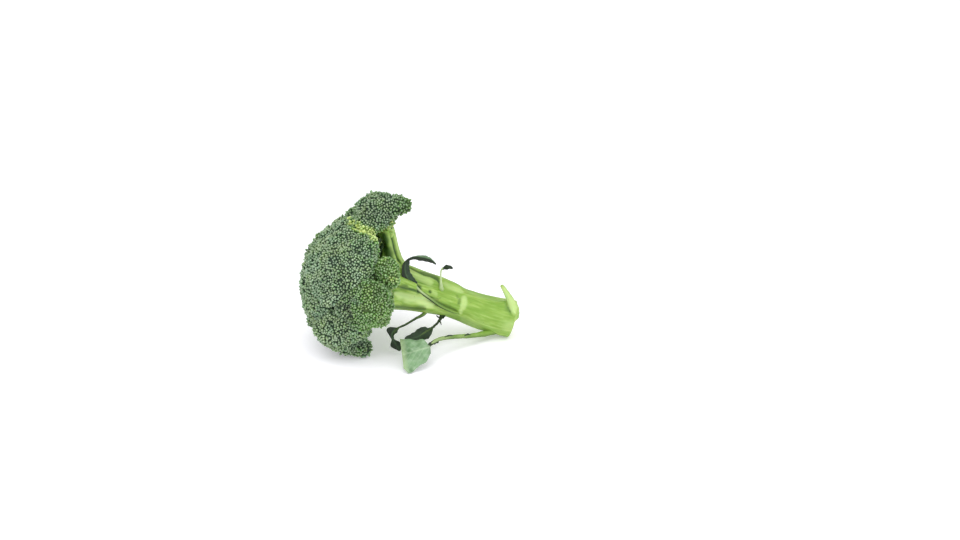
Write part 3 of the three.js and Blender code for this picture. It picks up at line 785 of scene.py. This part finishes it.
def floret(name, seed):
    """A floret: its mass, and on it buds in clusters that bulge, with tufts of one tone among them."""
    rng = np.random.default_rng(seed)
    co, tris = remeshed(name, FLORET_VOXEL)
    co = smoothed(co, tris, 5)
    normals = normals_of(co, tris)
    co = co - normals * CORE_DEPTH
    others = tree_of([n for n in (*FLORETS, "stalk") if n != name])
    area = scattered(co, tris, normals, 1, rng)[2]
    every, facing, _ = scattered(co, tris, normals, int(area / BUD_GAP**2 * TRIES), rng)
    keep = thrown(every, BUD_GAP)
    if name in FANS:
        keep = keep[(own_of(every[keep]) - BASE[name]) @ OUT[name] > BUDLESS]
    keep = np.array([k for k in keep
                     if others.ray_cast(Vector(every[k]), Vector(facing[k]), HIDDEN)[0] is None])
    keep = keep[clear_of(every[keep], FANS.get(name, []))]
    keep = keep[rng.random(len(keep)) > PITS]
    points, facing = every[keep], facing[keep]
    count = len(points)
    (clusters, cluster), (lobes, lobe), (tufts, tuft), (tinges, tinge) = (
        grouped(points, every[::step], gap) for step, gap in GROUPS)
    young_here = near(points, young)
    off = (points - clusters[cluster]) / (CLUSTER_GAP * GROUP_REACH)
    far = np.clip(norm(off, axis=1), 0, 1)
    lobe_off = (points - lobes[lobe]) / (LOBE_GAP * GROUP_REACH)
    seam = np.clip(norm(lobe_off, axis=1), 0, 1) ** 2
    gone = (rng.random(len(clusters)) < GAPS)[cluster]
    sunk = np.maximum(gone * (1 - far) ** 0.5 * (young_here < 0.1), near(points, dents))
    own = own_of(points)
    hook = 0.2 * (name == "floret_top") * np.clip((own[:, 0] + 16) / 9, 0, 1)

    up = units(facing + 0.55 * off + 0.2 * lobe_off + rng.normal(0, 0.2, points.shape))
    side = units(np.cross(up, rng.normal(size=points.shape)))
    other_side = np.cross(up, side)
    size = BUD_RADIUS * rng.uniform(0.82, 1.12, count) * (1 - 0.06 * far) * (1 - 0.15 * sunk)
    size *= 1 + 0.12 * young_here
    height = rng.normal(0.0, 0.32, len(clusters))[cluster] + rng.normal(0.0, 0.2, len(tufts))[tuft]
    rise = CLUSTER_RISE * (1 - far**2) + LOBE_RISE * (0.5 - seam) + (height - 0.1) * MM
    rise += rng.normal(0, 0.12, count) * MM - SUNK * sunk
    stretch = rng.uniform(0.9, 1.3, count)
    corners = (points + facing * rise[:, None])[:, None] + size[:, None, None] * (
        side[:, None] * FORM[None, :, 0:1]
        + other_side[:, None] * FORM[None, :, 1:2]
        + up[:, None] * (FORM[None, :, 2:3] * stretch[:, None, None])
    )
    corners = off_floor(corners.reshape(-1, 3))
    faces = (FORM_FACES[None] + np.arange(count)[:, None, None] * len(FORM)).reshape(-1, 3)
    co = co + normals * bed(co, normals, points, rise, others)[:, None]

    glow = rng.uniform(-0.2, 0.16, len(clusters))[cluster] + rng.uniform(-0.24, 0.2, len(tufts))[tuft]
    # Painted shade: buds are darker towards the edges of their clusters and lobes, where they lie deeper and
    # in the shade spots.
    tint = rng.uniform(0.7, 1.0, count) * (1 - 0.34 * far**2) + glow + 0.11
    shaded = (1 - SHADES.get(name, 1.0) + hook) * (1 - young_here)
    tint = np.clip(tint * (1 - 0.66 * sunk) * (1 - shaded), 0, 1)
    tint *= (1 - 0.5 * near(points, shade_spots)) * (1.04 - 0.2 * seam**2)
    fresh = freshness(name, points) + rng.uniform(-0.08, 0.16, len(clusters))[cluster]
    fresh = np.clip(fresh + rng.uniform(-0.06, 0.08, len(tinges))[tinge], 0, 1)
    hue = rng.uniform(0.0, 1.0, len(tinges))[tinge] * 0.6 + rng.uniform(0.0, 0.4, len(tufts))[tuft]
    buds = {"tint": tint, "fresh": fresh, "hue": hue}
    buds = {key: np.repeat(values, len(FORM)) for key, values in buds.items()}
    buds["tip"] = np.tile(FORM_UP, count)
    # The mass between the buds is painted dark, darker still in the shade spots: painted shade between the
    # buds.
    mass = {"tip": 0.1, "tint": 0.3 * (1 - 0.8 * near(co, shade_spots)), "fresh": freshness(name, co), "hue": 0.5}
    piece(name + "_buds", joined([(co, tris, mass), (corners, faces, buds)]), BUDS, name)


for number, floret_name in enumerate(FLORETS):
    floret(floret_name, 100 + number)

# --- stalk

APART = 0.3  # mm between two solids of the part, as in its source


def end_of(name, back):
    """The end of a floret's branch, or a place on it this many mm back."""
    return BASE[name] - OUT[name] * (APART + back)


TRUNK = [BUTT, (59.6, 18.8, 22.4), (44.5, 16.7, 29.4), (20, 14, 39), (-8, 9, 48.5), FORK]
TOP_LIMB = [(46, 19, 34), (30, 16.5, 42.5), (17.6, 14, 49), (5, 12, 54.5), (-6, 9.5, 62), (-12.6, 8, 72),
            (-15.8, 8, 81), (-17.8, 8, 91), (-19.2, 8, 99), (-19.8, 8, 106)]
FRONT_LIMB = [(46, 15, 28), (30, 9, 30), (17.6, 5, 35.5), (-7.6, -2, 41.5), (-20, -12, 48),
              end_of("floret_front", 6), end_of("floret_front", 0)]
BACK_LIMB = [(46, 23, 36), (30, 23, 44.5), (15, 23, 50.5), (1, 22, 56.5),
             end_of("floret_back_high", 8), end_of("floret_back_high", 0)]
CUT_LEAF_STEM = [(80, 13, 16.6), (88.4, 12, 19.6), (89, 11.8, 27.1), (85.6, 13.2, 34.8), (81.6, 15, 42.1),
                 (77.4, 17, 48.1)]
LIMB_ROOT = 0.52  # share of the trunk's length at which the other limbs leave it
LIMB_PATH = ((0, 5), (16, 8), (34, 11))  # mm from there along the axis, and out from it


def limb_to(name):
    """The branch of a rim floret, along the trunk and then out."""
    side = unit(OUT[name] - AXIS * (OUT[name] @ AXIS))
    root = BUTT + (FORK - BUTT) * LIMB_ROOT
    return [root + AXIS * along + side * out for along, out in LIMB_PATH] + [end_of(name, 9), end_of(name, 0)]


TRUNK_RADIUS, STUB_RADIUS = 14.5, 4.5  # mm
LIMBS = [(TOP_LIMB, 9), (FRONT_LIMB, 8), (BACK_LIMB, 6.5), (CUT_LEAF_STEM, STUB_RADIUS)]
LIMBS += [(limb_to(name), 7.5) for name, (tilt, *_) in FLORETS.items()
          if tilt >= RIM_TILT and name not in ("floret_top", "floret_front", "floret_back_high")]
LINE_STEPS = 70  # places on a limb's middle line
FIBRE_ROUND, FIBRE_ALONG = 0.06, 0.009  # how the fibres' pattern goes with mm round and along a limb


def fibres(turn, radius, along, number):
    """Where the fibres' pattern is read, this far round and along one limb."""
    return np.stack([np.cos(turn) * radius * FIBRE_ROUND + number * 3, np.sin(turn) * radius * FIBRE_ROUND,
                     along * FIBRE_ALONG], 1)


def strands(own, limbs):
    """For each point, the fibres' pattern, the angle round and the mm along and outside its nearest limb."""
    flow, turn, along = np.zeros((len(own), 3)), np.zeros(len(own)), np.zeros(len(own))
    outside = np.full(len(own), 1e9)
    for number, (points, radius) in enumerate(limbs):
        line, ahead, _, _ = course(points, LINE_STEPS)
        k = norm(own[:, None] - line[None], axis=2).argmin(1)
        off = own - line[k]
        past = (off * ahead[k]).sum(1)
        out = off - ahead[k] * past[:, None]
        gap = norm(out, axis=1) - radius + np.maximum(np.abs(past) - 2, 0)
        mine = gap < outside
        up = units(SKY - ahead[k] * ahead[k][:, 2:3])
        round_it = np.arctan2((out * np.cross(ahead[k], up)).sum(1), (out * up).sum(1))
        so_far = k * norm(line[1] - line[0]) + past
        outside[mine], turn[mine], along[mine] = gap[mine], round_it[mine], so_far[mine]
        flow[mine] = fibres(round_it, radius, so_far, number)[mine]
    return flow, turn, along, outside


GAP = ((379, 241), (379, 247), (380, 255))  # the gap between the crown and the top limb, painted dark as shadow on the stalk and the stems near it
# What shows on the stalk from the front, mostly painted shade and painted highlight with some dark and pale
# colour:
# lines through pixels, with a radius in mm, a strength and, for a dark one, how deep it is cut in mm.
SHADE_AND_DARK_MARKS = (
    # painted shade in the top limb's groove and on its shaded side
    (((390.3, 232.4), (393.2, 242.3), (395.2, 250.6), (397.7, 258.5), (400.5, 263)), 1.15, 0.9, 0.9),
    (((384, 235), (385, 247), (388, 256), (392, 264)), 3.4, 0.92, 0.0),
    (GAP, 5.0, 1.0, 0.0),
    # painted shade in the creases between the front limb and the trunk, under the front limb and along the
    # strap leaf's stem
    (((396, 287), (404, 288.3), (413, 290), (418, 292)), 1.2, 0.85, 0.9),
    (((401.5, 287), (407, 287.6)), 2.4, 0.6, 0.0),
    (((419.4, 287), (419.6, 289.5), (418.8, 291.5)), 1.9, 1.0, 1.1),
    (((422.3, 292.6), (427, 296), (431.7, 299)), 1.0, 0.95, 0.9),
    (((431, 298), (437, 301.5)), 1.9, 0.4, 0.3),
    (((433, 300), (442, 304.5), (450, 308.3), (456.7, 311.1)), 1.1, 0.6, 0.6),
    (((391, 307), (404, 307.8), (415, 308.6), (425, 309.2)), 2.9, 0.66, 0.0),
    (((430.1, 291.4), (430.7, 291.9)), 1.1, 0.85, 0.6),
    # the fold over the ridge that the strap leaf's stem runs down: dark green, deepened with painted shade
    (((408, 266.5), (416, 270.5), (423.2, 274), (431.7, 276.8), (437.5, 279.4), (439.7, 283)), 1.0, 0.8, 0.8),
    (((420, 272), (427, 273.6), (434, 275.8), (438.5, 278.2)), 1.8, 0.7, 0.2),
    (((439.7, 283), (440.2, 288.3)), 1.0, 0.45, 0.3),
    # dents on the trunk, painted shade on its underside and the line beside the cut leaf stem
    (((459.6, 299.5), (458.8, 303.5)), 1.0, 0.42, 0.4),
    (((457, 296), (457.6, 298)), 0.9, 0.32, 0.3),
    (((428, 313), (450, 318), (472, 326)), 1.6, 0.3, 0.0),
    (((504.5, 299), (507, 305), (511, 313)), 0.9, 0.4, 0.4),
)
# Pale marks: painted highlight along the tops of the limbs, their ridges and the upper stalk, and the paler
# colour of the trunk's node and the cut leaf stem's stub.
PALE_AND_HIGHLIGHT_MARKS = (
    (((395, 294), (404, 295), (414, 297.6), (424, 300.8), (433, 304)), 4.0, 0.75),
    (((388.8, 236), (390.4, 244.5), (393.3, 255), (397, 263)), 1.3, 0.3),
    (((395, 235), (397.3, 246.5), (399.8, 255), (403, 262)), 1.2, 0.35),
    (((409, 270), (420, 277), (432, 283)), 2.6, 0.35),
    (((432, 292), (437, 294.5)), 1.8, 0.3),
    (((444, 283.5), (452, 288), (463, 291.5)), 2.6, 0.35),
    (((464.2, 297), (464.4, 302), (462.5, 308)), 2.1, 0.5),
    (((461, 310.5), (460.5, 313)), 1.3, 0.5),
    (((502, 288), (507, 297), (512, 305), (515, 312)), 3.6, 0.6),
)


def marked(co, path, radius, tree):
    """From 1 on a line through pixels to 0 at its soft, uneven edge; a long line thins out to its ends."""
    share = np.zeros(len(co))
    x, y, z = (co / MM).T
    rng = np.random.default_rng(11)
    ragged = 1 + 0.11 * (waves(x, z, rng, 7, 5, 16) + waves(y, z, rng, 7, 5, 16))
    length = sum(math.dist(a, b) for a, b in zip(path, path[1:]))
    steps = max(2, int(length / 0.9))
    places = curve([(px, py, 0.0) for px, py in path], steps) if len(path) > 2 else np.linspace(*path, steps)
    for k, (px, py, *_) in enumerate(places):
        t = k / (steps - 1)
        thin = 1.0 if length < 5 else min(1.0, 0.4 + 5 * min(t, 1 - t))
        place = seen(px, py, tree)
        if place is not None:
            d = norm(co - place, axis=1) / (radius * thin * MM * ragged)
            share = np.maximum(share, np.clip((1.75 - d) / 1.3, 0, 1))
    return eased(share)


BUTT_RADIUS = 15.7  # mm, of the trunk where it is cut
BUTT_ROUND = 16.0  # mm of the trunk from there that are made round
BINS = 36  # sectors round the trunk
STALK_VOXEL = 1.05 * MM  # about how large the stalk's faces are
SKIN = 1.0  # mm from the plane of the cut in which a place belongs to the cut face
RIDGES = (5, 8, 13)  # how many ridges go round a limb; each is RIDGE_SWELL / count * RIDGE_HIGH mm high
RIDGE_SWELL, RIDGE_HIGH = 1.4, 0.42
GAP_SHADE_REACH = 11.0  # mm round GAP in which the stems are painted dark as shade


def rounded(own, turn, along, stub):
    """The trunk's last stretch made round, where the stub of a leaf stem isn't."""
    line = curve(TRUNK, LINE_STEPS)
    first = unit(line[1] - line[0])
    off = own - BUTT
    out = off - (off @ first)[:, None] * first
    r = norm(out, axis=1)
    sector = ((turn + math.pi) / math.tau * BINS).astype(int) % BINS
    skin = (along < BUTT_ROUND / 2) & (stub > 1.5) & (r > BUTT_RADIUS * 0.8)
    found = np.array([np.median(r[skin & (sector == k)]) if (skin & (sector == k)).any() else BUTT_RADIUS
                      for k in range(BINS)])
    around = np.linspace(-math.pi, math.pi, BINS, endpoint=False) + math.pi / BINS
    outer = np.interp(turn, around, found, period=math.tau)
    wanted = BUTT_RADIUS + 0.25 * np.sin(2 * turn + 1) + 0.2 * np.sin(5 * turn + 2)
    share = np.clip((BUTT_ROUND - along) / 8, 0, 1) * np.clip((stub - 0.5) / 2, 0, 1)
    return own + out * (share * (wanted / outer - 1))[:, None]


def stalk():
    """The stalk and its limbs with their fibres and their marks of painted shade, painted highlight and dark
    and pale colour, and the fans of stems under the florets.
    """
    rng = np.random.default_rng(7)
    lead = unit(np.array(TRUNK[1]) - BUTT)
    co, tris = remeshed("stalk", STALK_VOXEL)
    butt = np.abs((own_of(co) - BUTT) @ lead) < SKIN
    co = smoothed(co, tris, 12, keep=np.where(butt, 0.75, 0.0))
    own = own_of(co)
    stub = strands(own, [(CUT_LEAF_STEM, STUB_RADIUS)])[3]
    flow, turn, along, outside = strands(own, [(TRUNK, TRUNK_RADIUS)])
    own = rounded(own, turn, along, stub)
    co = row(own)
    branch, branch_turn, branch_along, branch_outside = strands(own, LIMBS)
    share = eased(np.clip((outside - branch_outside) / 5 + 0.5, 0, 1))
    ridge = np.zeros(len(co))
    for count in RIDGES:
        phase, drift = rng.random() * 6, rng.uniform(-2, 2) * FIBRE_ALONG
        ridge += (1 - share) * np.sin(turn * count + phase + drift * along) * RIDGE_SWELL / count
        ridge += share * np.sin(branch_turn * count + phase + drift * branch_along) * RIDGE_SWELL / count
    normals = normals_of(co, tris)
    skin = np.where(butt, 0.0, 1.0)
    tree = tree_of(["stalk"])
    dark, pale, cut_in = np.zeros((3, len(co)))
    for path, radius, strength, depth in SHADE_AND_DARK_MARKS:
        mark = marked(co, path, radius, tree)
        dark = np.maximum(dark, mark * strength)
        cut_in = np.maximum(cut_in, mark * depth)
    for path, radius, strength in PALE_AND_HIGHLIGHT_MARKS:
        pale = np.maximum(pale, marked(co, path, radius, tree) * strength)
    co = off_floor(co + normals * ((ridge * RIDGE_HIGH * skin - cut_in) * MM)[:, None])
    hollow = ((smoothed(co, tris, 30) - co) * normals).sum(1) / MM
    groove = np.clip((hollow - 0.08) / 0.9, 0, 0.8) * skin
    off = own_of(co) - BUTT
    deep = off @ lead
    ring = norm(off - deep[:, None] * lead, axis=1) / BUTT_RADIUS
    cut = np.clip((1.1 - np.abs(deep)) / 0.6, 0, 1) * (ring < 1.2)
    bodies = [(co, tris, {"flow": flow, "branch": branch, "share": share, "groove": groove,
                          "dark": dark, "pale": pale * (1 - dark), "ring": ring, "cut": cut})]
    for number, (path, radii) in enumerate(stem for stems in FANS.values() for stem in stems):
        places, faces, t, angle, mm = pipe(path, radii, rng, sides=8, steps=18, uneven=0.08)
        places = off_floor(row(places))
        pattern = fibres(angle, 2.0, mm, 20 + number)
        # The stems near the gap are painted dark as shade and are not made pale there.
        gap_shade = marked(places, GAP, GAP_SHADE_REACH, tree)
        pale = (0.12 + 0.3 * t) * (1 - gap_shade)
        bodies.append((places, faces, {"flow": pattern, "branch": pattern, "dark": gap_shade, "pale": pale}))
    piece("stalk_flesh", joined(bodies), FLESH, "stalk")


stalk()

# --- leaves

LEAF_THICKNESS = 0.85  # mm, at the middle of a blade
WAVE_STEP, WAVE_SHIFT = 2.4, 1.5  # of a blade's wavy edge, as in the part's source
NARROWEST = 0.3  # mm from a blade's midrib to its edge
VEIN_WIDE, VEIN_HIGH = 0.34, 0.14  # mm
RIPPLE = 0.16  # mm
# Small dark blades that hang on a stem.
SCRAP = {"rows": 26, "columns": 5, "rib": 0.05, "dark": 0.9}
SMALL_SCRAP = SCRAP | {"rows": 18, "columns": 4}


def blade(midrib, across, widths, seed, top=1, curl=0.0, wave=0.0, rows=72, columns=16, ragged=0.35,
          rib=0.5, spacing=4.2, bloom=0.0, dark=0.0, shaded=0.0, veins=0.5, ends=(0.0, 0.0)):
    """A leaf blade: a sheet that thins to its edges, with its midrib and side veins proud beneath.

    shaded darkens one half of it with painted shade, and ends its start and, as a pale margin, its far end."""
    rng = np.random.default_rng(seed)
    line, ahead, t, along = course(midrib, rows)
    stations = np.linspace(0, 1, len(across))
    side = units(np.stack([np.interp(t, stations, np.array(across, float)[:, k]) for k in range(3)], 1))
    face = units(np.cross(ahead, side))
    share = np.linspace(-1, 1, 2 * columns + 1)
    sign = np.sign(share)
    left, right = (np.maximum(edge + ragged * waves(along, 0.0, rng, 5, 2.5, 11), NARROWEST)
                   for edge in through(widths, t).T)
    reach = np.where(share < 0, left[:, None], right[:, None])
    swell = np.sin(WAVE_STEP * t[:, None] * (len(widths) - 1) + WAVE_SHIFT * sign)
    s = np.abs(share) * reach
    ripple = RIPPLE * waves(along[:, None], share * reach, rng, 7, 4, 9) * np.minimum(s / 2.5, 1)
    lift = share**2 * (curl * reach + wave * swell) + ripple
    middle = line[:, None] + side[:, None] * (share * reach)[..., None] + face[:, None] * lift[..., None]
    normal = units(np.cross(np.gradient(middle, axis=0), np.gradient(middle, axis=1)))
    phase = (along[:, None] - 0.8 * s) / spacing + np.where(sign > 0, 0.5, 0.0) + 0.08 * ripple
    gap = (phase - np.floor(phase) - 0.5) * spacing
    vein = np.exp(-((gap / VEIN_WIDE) ** 2)) * np.clip(1.1 - np.abs(share), 0, 1) * np.clip(s / 0.8, 0, 1)
    keel = np.exp(-((s / (0.95 - 0.45 * t[:, None])) ** 2)) * (1 - 0.75 * t[:, None])
    half = 0.5 * LEAF_THICKNESS * (1 - 0.62 * share**4)
    under = half + rib * keel + VEIN_HIGH * vein
    over = np.maximum(half - 0.25 * keel - 0.1 * vein, 0.12)
    plus, minus = (over, under) if top > 0 else (under, over)
    co = np.vstack([(middle + normal * plus[..., None]).reshape(-1, 3),
                    (middle - normal * minus[..., None]).reshape(-1, 3)])
    wide = len(share)
    a = (np.arange(rows - 1)[:, None] * wide + np.arange(wide - 1)).ravel()
    b, far = a + wide, rows * wide
    rim = np.concatenate([np.arange(wide), np.arange(1, rows) * wide + wide - 1,
                          (rows - 1) * wide + np.arange(wide - 2, -1, -1), np.arange(rows - 2, 0, -1) * wide])
    after = np.roll(rim, -1)
    tris = triangles((a, b, b + 1), (a, b + 1, a + 1),
                     (far + a, far + b + 1, far + b), (far + a, far + a + 1, far + b + 1),
                     (rim, after, far + after), (rim, far + after, far + rim))
    below = np.repeat([0.0, 1.0] if top > 0 else [1.0, 0.0], far)
    tone = np.clip(0.5 + 0.5 * waves(along[:, None], share * reach, rng, 6, 3, 10), 0, 1)
    marks = {
        "vein": np.clip(0.95 * keel + veins * vein, 0, 1),
        "bloom": tone * bloom,
        "dark": dark + shaded * np.clip(share / 0.2, 0, 1) + ends[0] * np.exp(-t[:, None] / 0.07),
        "pale": ends[1] * np.clip((t[:, None] - 0.8) / 0.18, 0, 1),
    }
    marks = {key: np.tile(np.broadcast_to(mark, reach.shape).ravel(), 2) for key, mark in marks.items()}
    return co, tris, {"under": below, **marks}


def tube(points, radii, seed, dark=0.0, pale=0.0, foot=0.0, underside_shade=0.0, **shape):
    """A leaf's stem: how dark, pale or like the stalk (foot) it is, once or by stations along it.

    lower is how much its underside is darkened with painted shade."""
    co, tris, t, turn, _ = pipe(points, radii, np.random.default_rng(seed), **shape)

    def at(value):
        """A value for each corner."""
        return through(value, t) if np.ndim(value) else value

    below = np.clip(0.5 - 1.4 * np.cos(turn), 0, 1)
    return co, tris, {"stem": 1, "dark": at(dark) + at(underside_shade) * below, "pale": at(pale), "foot": at(foot)}


def leaf(name, *bodies, material=DARK_LEAF, slot="leaf_dark"):
    """A leaf, from the bodies of its stems and blades."""
    co, tris, marks = joined(bodies)
    marks = {key: np.clip(values, 0, 1) for key, values in marks.items()}
    piece(name + "_blade", (off_floor(row(co)), tris, marks), material, name)


leaf(
    "leaf_broad",
    tube([(78, 12, 7.5), (72, 12.5, 7), (66, 9, 6.9), (60, 4.5, 7.5), (51, -2, 8.9), (34.4, -14, 12.9),
          (23.5, -26, 15.4), (15, -40, 14.6)],
         [3, 2.9, 2.2, 2, 1.9, 1.8, 1.5, 1.2], 31, channel=0.16, dark=0.1, underside_shade=0.35,
         pale=[0, 0, 0, 0, 0, 0.25, 0.4, 0.4], foot=[1, 1, 0.6, 0.1, 0, 0, 0, 0]),
    blade([(18.2, -40.5, 15.2), (10.6, -42.5, 14), (2.8, -45, 12.4), (-5.2, -47.5, 10.9)],
          [(0.1, -0.85, -0.52), (0.12, -0.85, -0.5)],
          [(0.7, 6), (8, 12), (11, 14.2), (11.6, 16.2), (14, 17.6), (17, 19.4), (17.6, 13)],
          32, top=-1, curl=-0.06, wave=0.9, rows=96, columns=28, ragged=0.3, rib=0.55, spacing=5.5, bloom=0.8,
          ends=(0.4, 0.45)),
    blade([(24.6, -25.6, 14.2), (22, -29.2, 15), (19, -33.8, 15.9), (16.6, -38, 16.6)],
          [(0.4, -0.6, -0.6), (0.3, -0.7, -0.6)],
          [(0.5, 0.6), (1.4, 1.6), (1.8, 1.8), (1.6, 1.6), (0.4, 0.5)],
          33, wave=0.5, rows=30, columns=6, ragged=0.45, rib=0.1, dark=0.95),
    blade([(37.4, -12.8, 13.4), (33.4, -16, 14.6), (29.6, -20, 15.2)], [(0.2, -0.4, 0.9), (0.1, -0.4, 0.9)],
          [(0.3, 0.3), (1.6, 1.4), (1.5, 1.2), (0.3, 0.3)], 34, ragged=0.4, **SCRAP),
    blade([(51.4, -2.8, 9.9), (48.7, -5, 11), (46, -7.2, 10.9)], [(0.1, -0.3, 0.9)] * 2,
          [(0.2, 0.3), (1.4, 1.5), (1.3, 1.2), (0.2, 0.2)], 35, **SCRAP),
    material=PALE_LEAF, slot="leaf_pale",
)
leaf(
    "leaf_dark",
    tube([(30, 12, 30), (26.9, 6, 23.4), (25.6, 2.6, 21.9), (23.6, -1.4, 20.3), (19.3, -6, 18.1),
          (9, -16, 14.8)],
         [2.2, 1.8, 1.15, 1.1, 1.0, 0.5], 41, uneven=0.2, dark=[0.2, 0.8, 0.95, 0.9, 0.7, 0.6],
         pale=[0, 0, 0, 0, 0.1, 0.1]),
    blade([(19.3, -6, 18.1), (13.4, -12, 16), (7.6, -17, 14.6), (2, -21, 14.4), (-3.4, -24, 15)],
          [(0.2, -0.75, -0.6), (0.1, -0.8, -0.55)],
          [(0.8, 2), (2.2, 6.6), (6, 6.6), (6.8, 6.8), (5.4, 6.6), (4.6, 4.4), (2.2, 1)],
          42, curl=0.22, wave=0.7, rows=88, columns=20, ragged=0.5, rib=0.2, spacing=3.4, veins=0.15),
    tube([(25.2, 1.5, 21.6), (26.4, -0.6, 20.2), (26.9, -2.0, 18.6)], [0.75, 0.6, 0.25], 43,
         sides=8, steps=12, dark=0.9),
    blade([(26.4, 4.6, 22.6), (24.2, 3.8, 23.6), (22.6, 3.4, 25.2)], [(0.5, -0.5, 0.7)] * 2,
          [(0.5, 0.5), (1.2, 1.0), (0.3, 0.4)], 44, **SMALL_SCRAP),
    blade([(26.6, 4.6, 22.4), (28.8, 4.2, 23.2), (30.2, 4.0, 24.6)], [(0.3, -0.6, -0.7)] * 2,
          [(0.5, 0.5), (1.1, 1.0), (0.3, 0.3)], 45, **SMALL_SCRAP),
)
leaf(
    "leaf_two_lobed",
    tube([(16, 5, 34), (12.6, 1.4, 28), (5, -3, 25), (-3.4, -9, 22), (-10, -14, 20.8), (-13, -17, 18)],
         [2.2, 1.6, 1.1, 0.95, 0.9, 0.6], 51, channel=0.2, dark=[0, 0.3, 0.65, 0.75, 0.75, 0.6],
         foot=[1, 0.7, 0.1, 0, 0, 0], underside_shade=0.4),
    blade([(-9.5, -13.6, 21), (-13.8, -17, 18), (-14, -19, 14.3), (-11.8, -21, 10.6), (-7.6, -25, 5)],
          [(0.8, -0.2, -0.6), (0.95, -0.1, 0.1), (0.8, -0.3, 0.5)],
          [(0.8, 0.8), (4.4, 2.2), (5.4, 2.6), (2.6, 1.6), (1.1, 1.1), (3.6, 4.6), (4.6, 5), (3.2, 4),
           (0.9, 0.9)],
          52, curl=0.2, wave=0.4, rows=88, columns=14, ragged=0.45, rib=0.25, spacing=3.0, veins=0.1),
)
leaf(
    "leaf_strap",
    tube([(44, 6, 25.5), (37, -0.6, 30.2), (26, -3.2, 36.8), (17.6, -3.6, 43.6), (10, -4.2, 50),
          (3.4, -3.2, 57.4)],
         [0.8, 1.1, 1.2, 1.3, 1.3, 1.1], 61, channel=0.12, pale=[0, 0, 0, 0.2, 0.7, 0.4],
         foot=[1, 0.7, 0.5, 0.5, 0.2, 0], dark=[0, 0.1, 0.2, 0.15, 0, 0], underside_shade=[0.2, 0.4, 0.6, 1, 0.9, 0.3]),
    # The blade's shaded half is painted dark as shade.
    blade([(5.4, -2.9, 55), (-0.4, -3, 60.6), (-3.4, -2.6, 69), (-2.4, -1, 76.5), (3.4, 1.5, 79.2),
           (10.5, 4.5, 77.8), (18, 8, 74.5), (22.4, 10, 69.8)],
          [(-0.9, -0.3, 0.1), (-0.9, -0.4, 0), (-0.75, -0.65, 0.1), (-0.2, -0.95, -0.1), (0, -0.8, -0.6),
           (0, -0.75, -0.65)],
          [(2.4, 1.4), (5, 3.6), (5, 4.2), (4.2, 4), (4.2, 3.8), (3.8, 3.6), (3.4, 3.4), (3.3, 3.3),
           (3.2, 3.2), (2.8, 2.8), (2, 2), (0.7, 0.7)],
          62, curl=0.3, rows=110, columns=14, ragged=0.25, rib=0.35, spacing=3.6, bloom=0.4, shaded=1.0,
          veins=0.15),
)
leaf(
    "leaf_curled",
    tube([(27.6, 10, 46), (27, 5, 50), (26.6, 4.6, 58), (27, 5.6, 65.5), (28.6, 5.6, 68)],
         [2.4, 1.9, 1.0, 0.7, 0.8], 71, pale=[0.2, 0.55, 0.85, 0.9, 0.6], foot=[1, 0.6, 0, 0, 0]),
    blade([(27.6, 5.6, 67), (31, 4.6, 69.2), (34, 3.6, 69.6), (36.8, 3, 68.8)],
          [(0, -0.6, -0.8)] * 2, [(0.8, 0.9), (1.7, 1.8), (2, 2.2), (1.6, 1.8), (0.7, 0.7)],
          72, top=-1, curl=0.5, rows=48, columns=10, ragged=0.25, rib=0.2, spacing=2.6, dark=0.8),
)

# --- floor, light

FLOOR_HALF = 6.0  # metres
floor_mesh = bpy.data.meshes.new("floor")
floor_mesh.from_pydata([(FLOOR_HALF * x, FLOOR_HALF * y, 0) for x, y in ((-1, -1), (1, -1), (1, 1), (-1, 1))],
                       [], [(0, 1, 2, 3)])
floor = placed("floor", floor_mesh)
paper = Paint("floor")
# The floor also glows a little: painted light that lightens the shadows on it.
floor_mesh.materials.append(paper.finish(colour("f4f3f8"), 0.9, 0.1, emission_color=colour("f6f2fa"),
                                         emission_strength=0.25))

world = bpy.data.worlds.new("world")
bpy.context.scene.world = world
world.use_nodes = True
sky = world.node_tree.nodes["Background"].inputs
sky["Color"].default_value = (1.0, 1.0, 1.0, 1.0)
sky["Strength"].default_value = 0.9


def lamp(name, toward, strength, spread):
    """A broad soft light that shines toward this direction."""
    data = bpy.data.lights.new(name, "SUN")
    data.energy = strength
    data.angle = math.radians(spread)
    made = placed(name, data)
    made.location = -Vector(toward)
    made.rotation_euler = Vector(toward).to_track_quat("-Z", "Y").to_euler()


lamp("key", (0.25, 0.35, -1.0), 0.95, 50)
lamp("fill", (-0.6, 0.9, -0.7), 0.35, 70)

bpy.context.scene.view_settings.view_transform = "Standard"
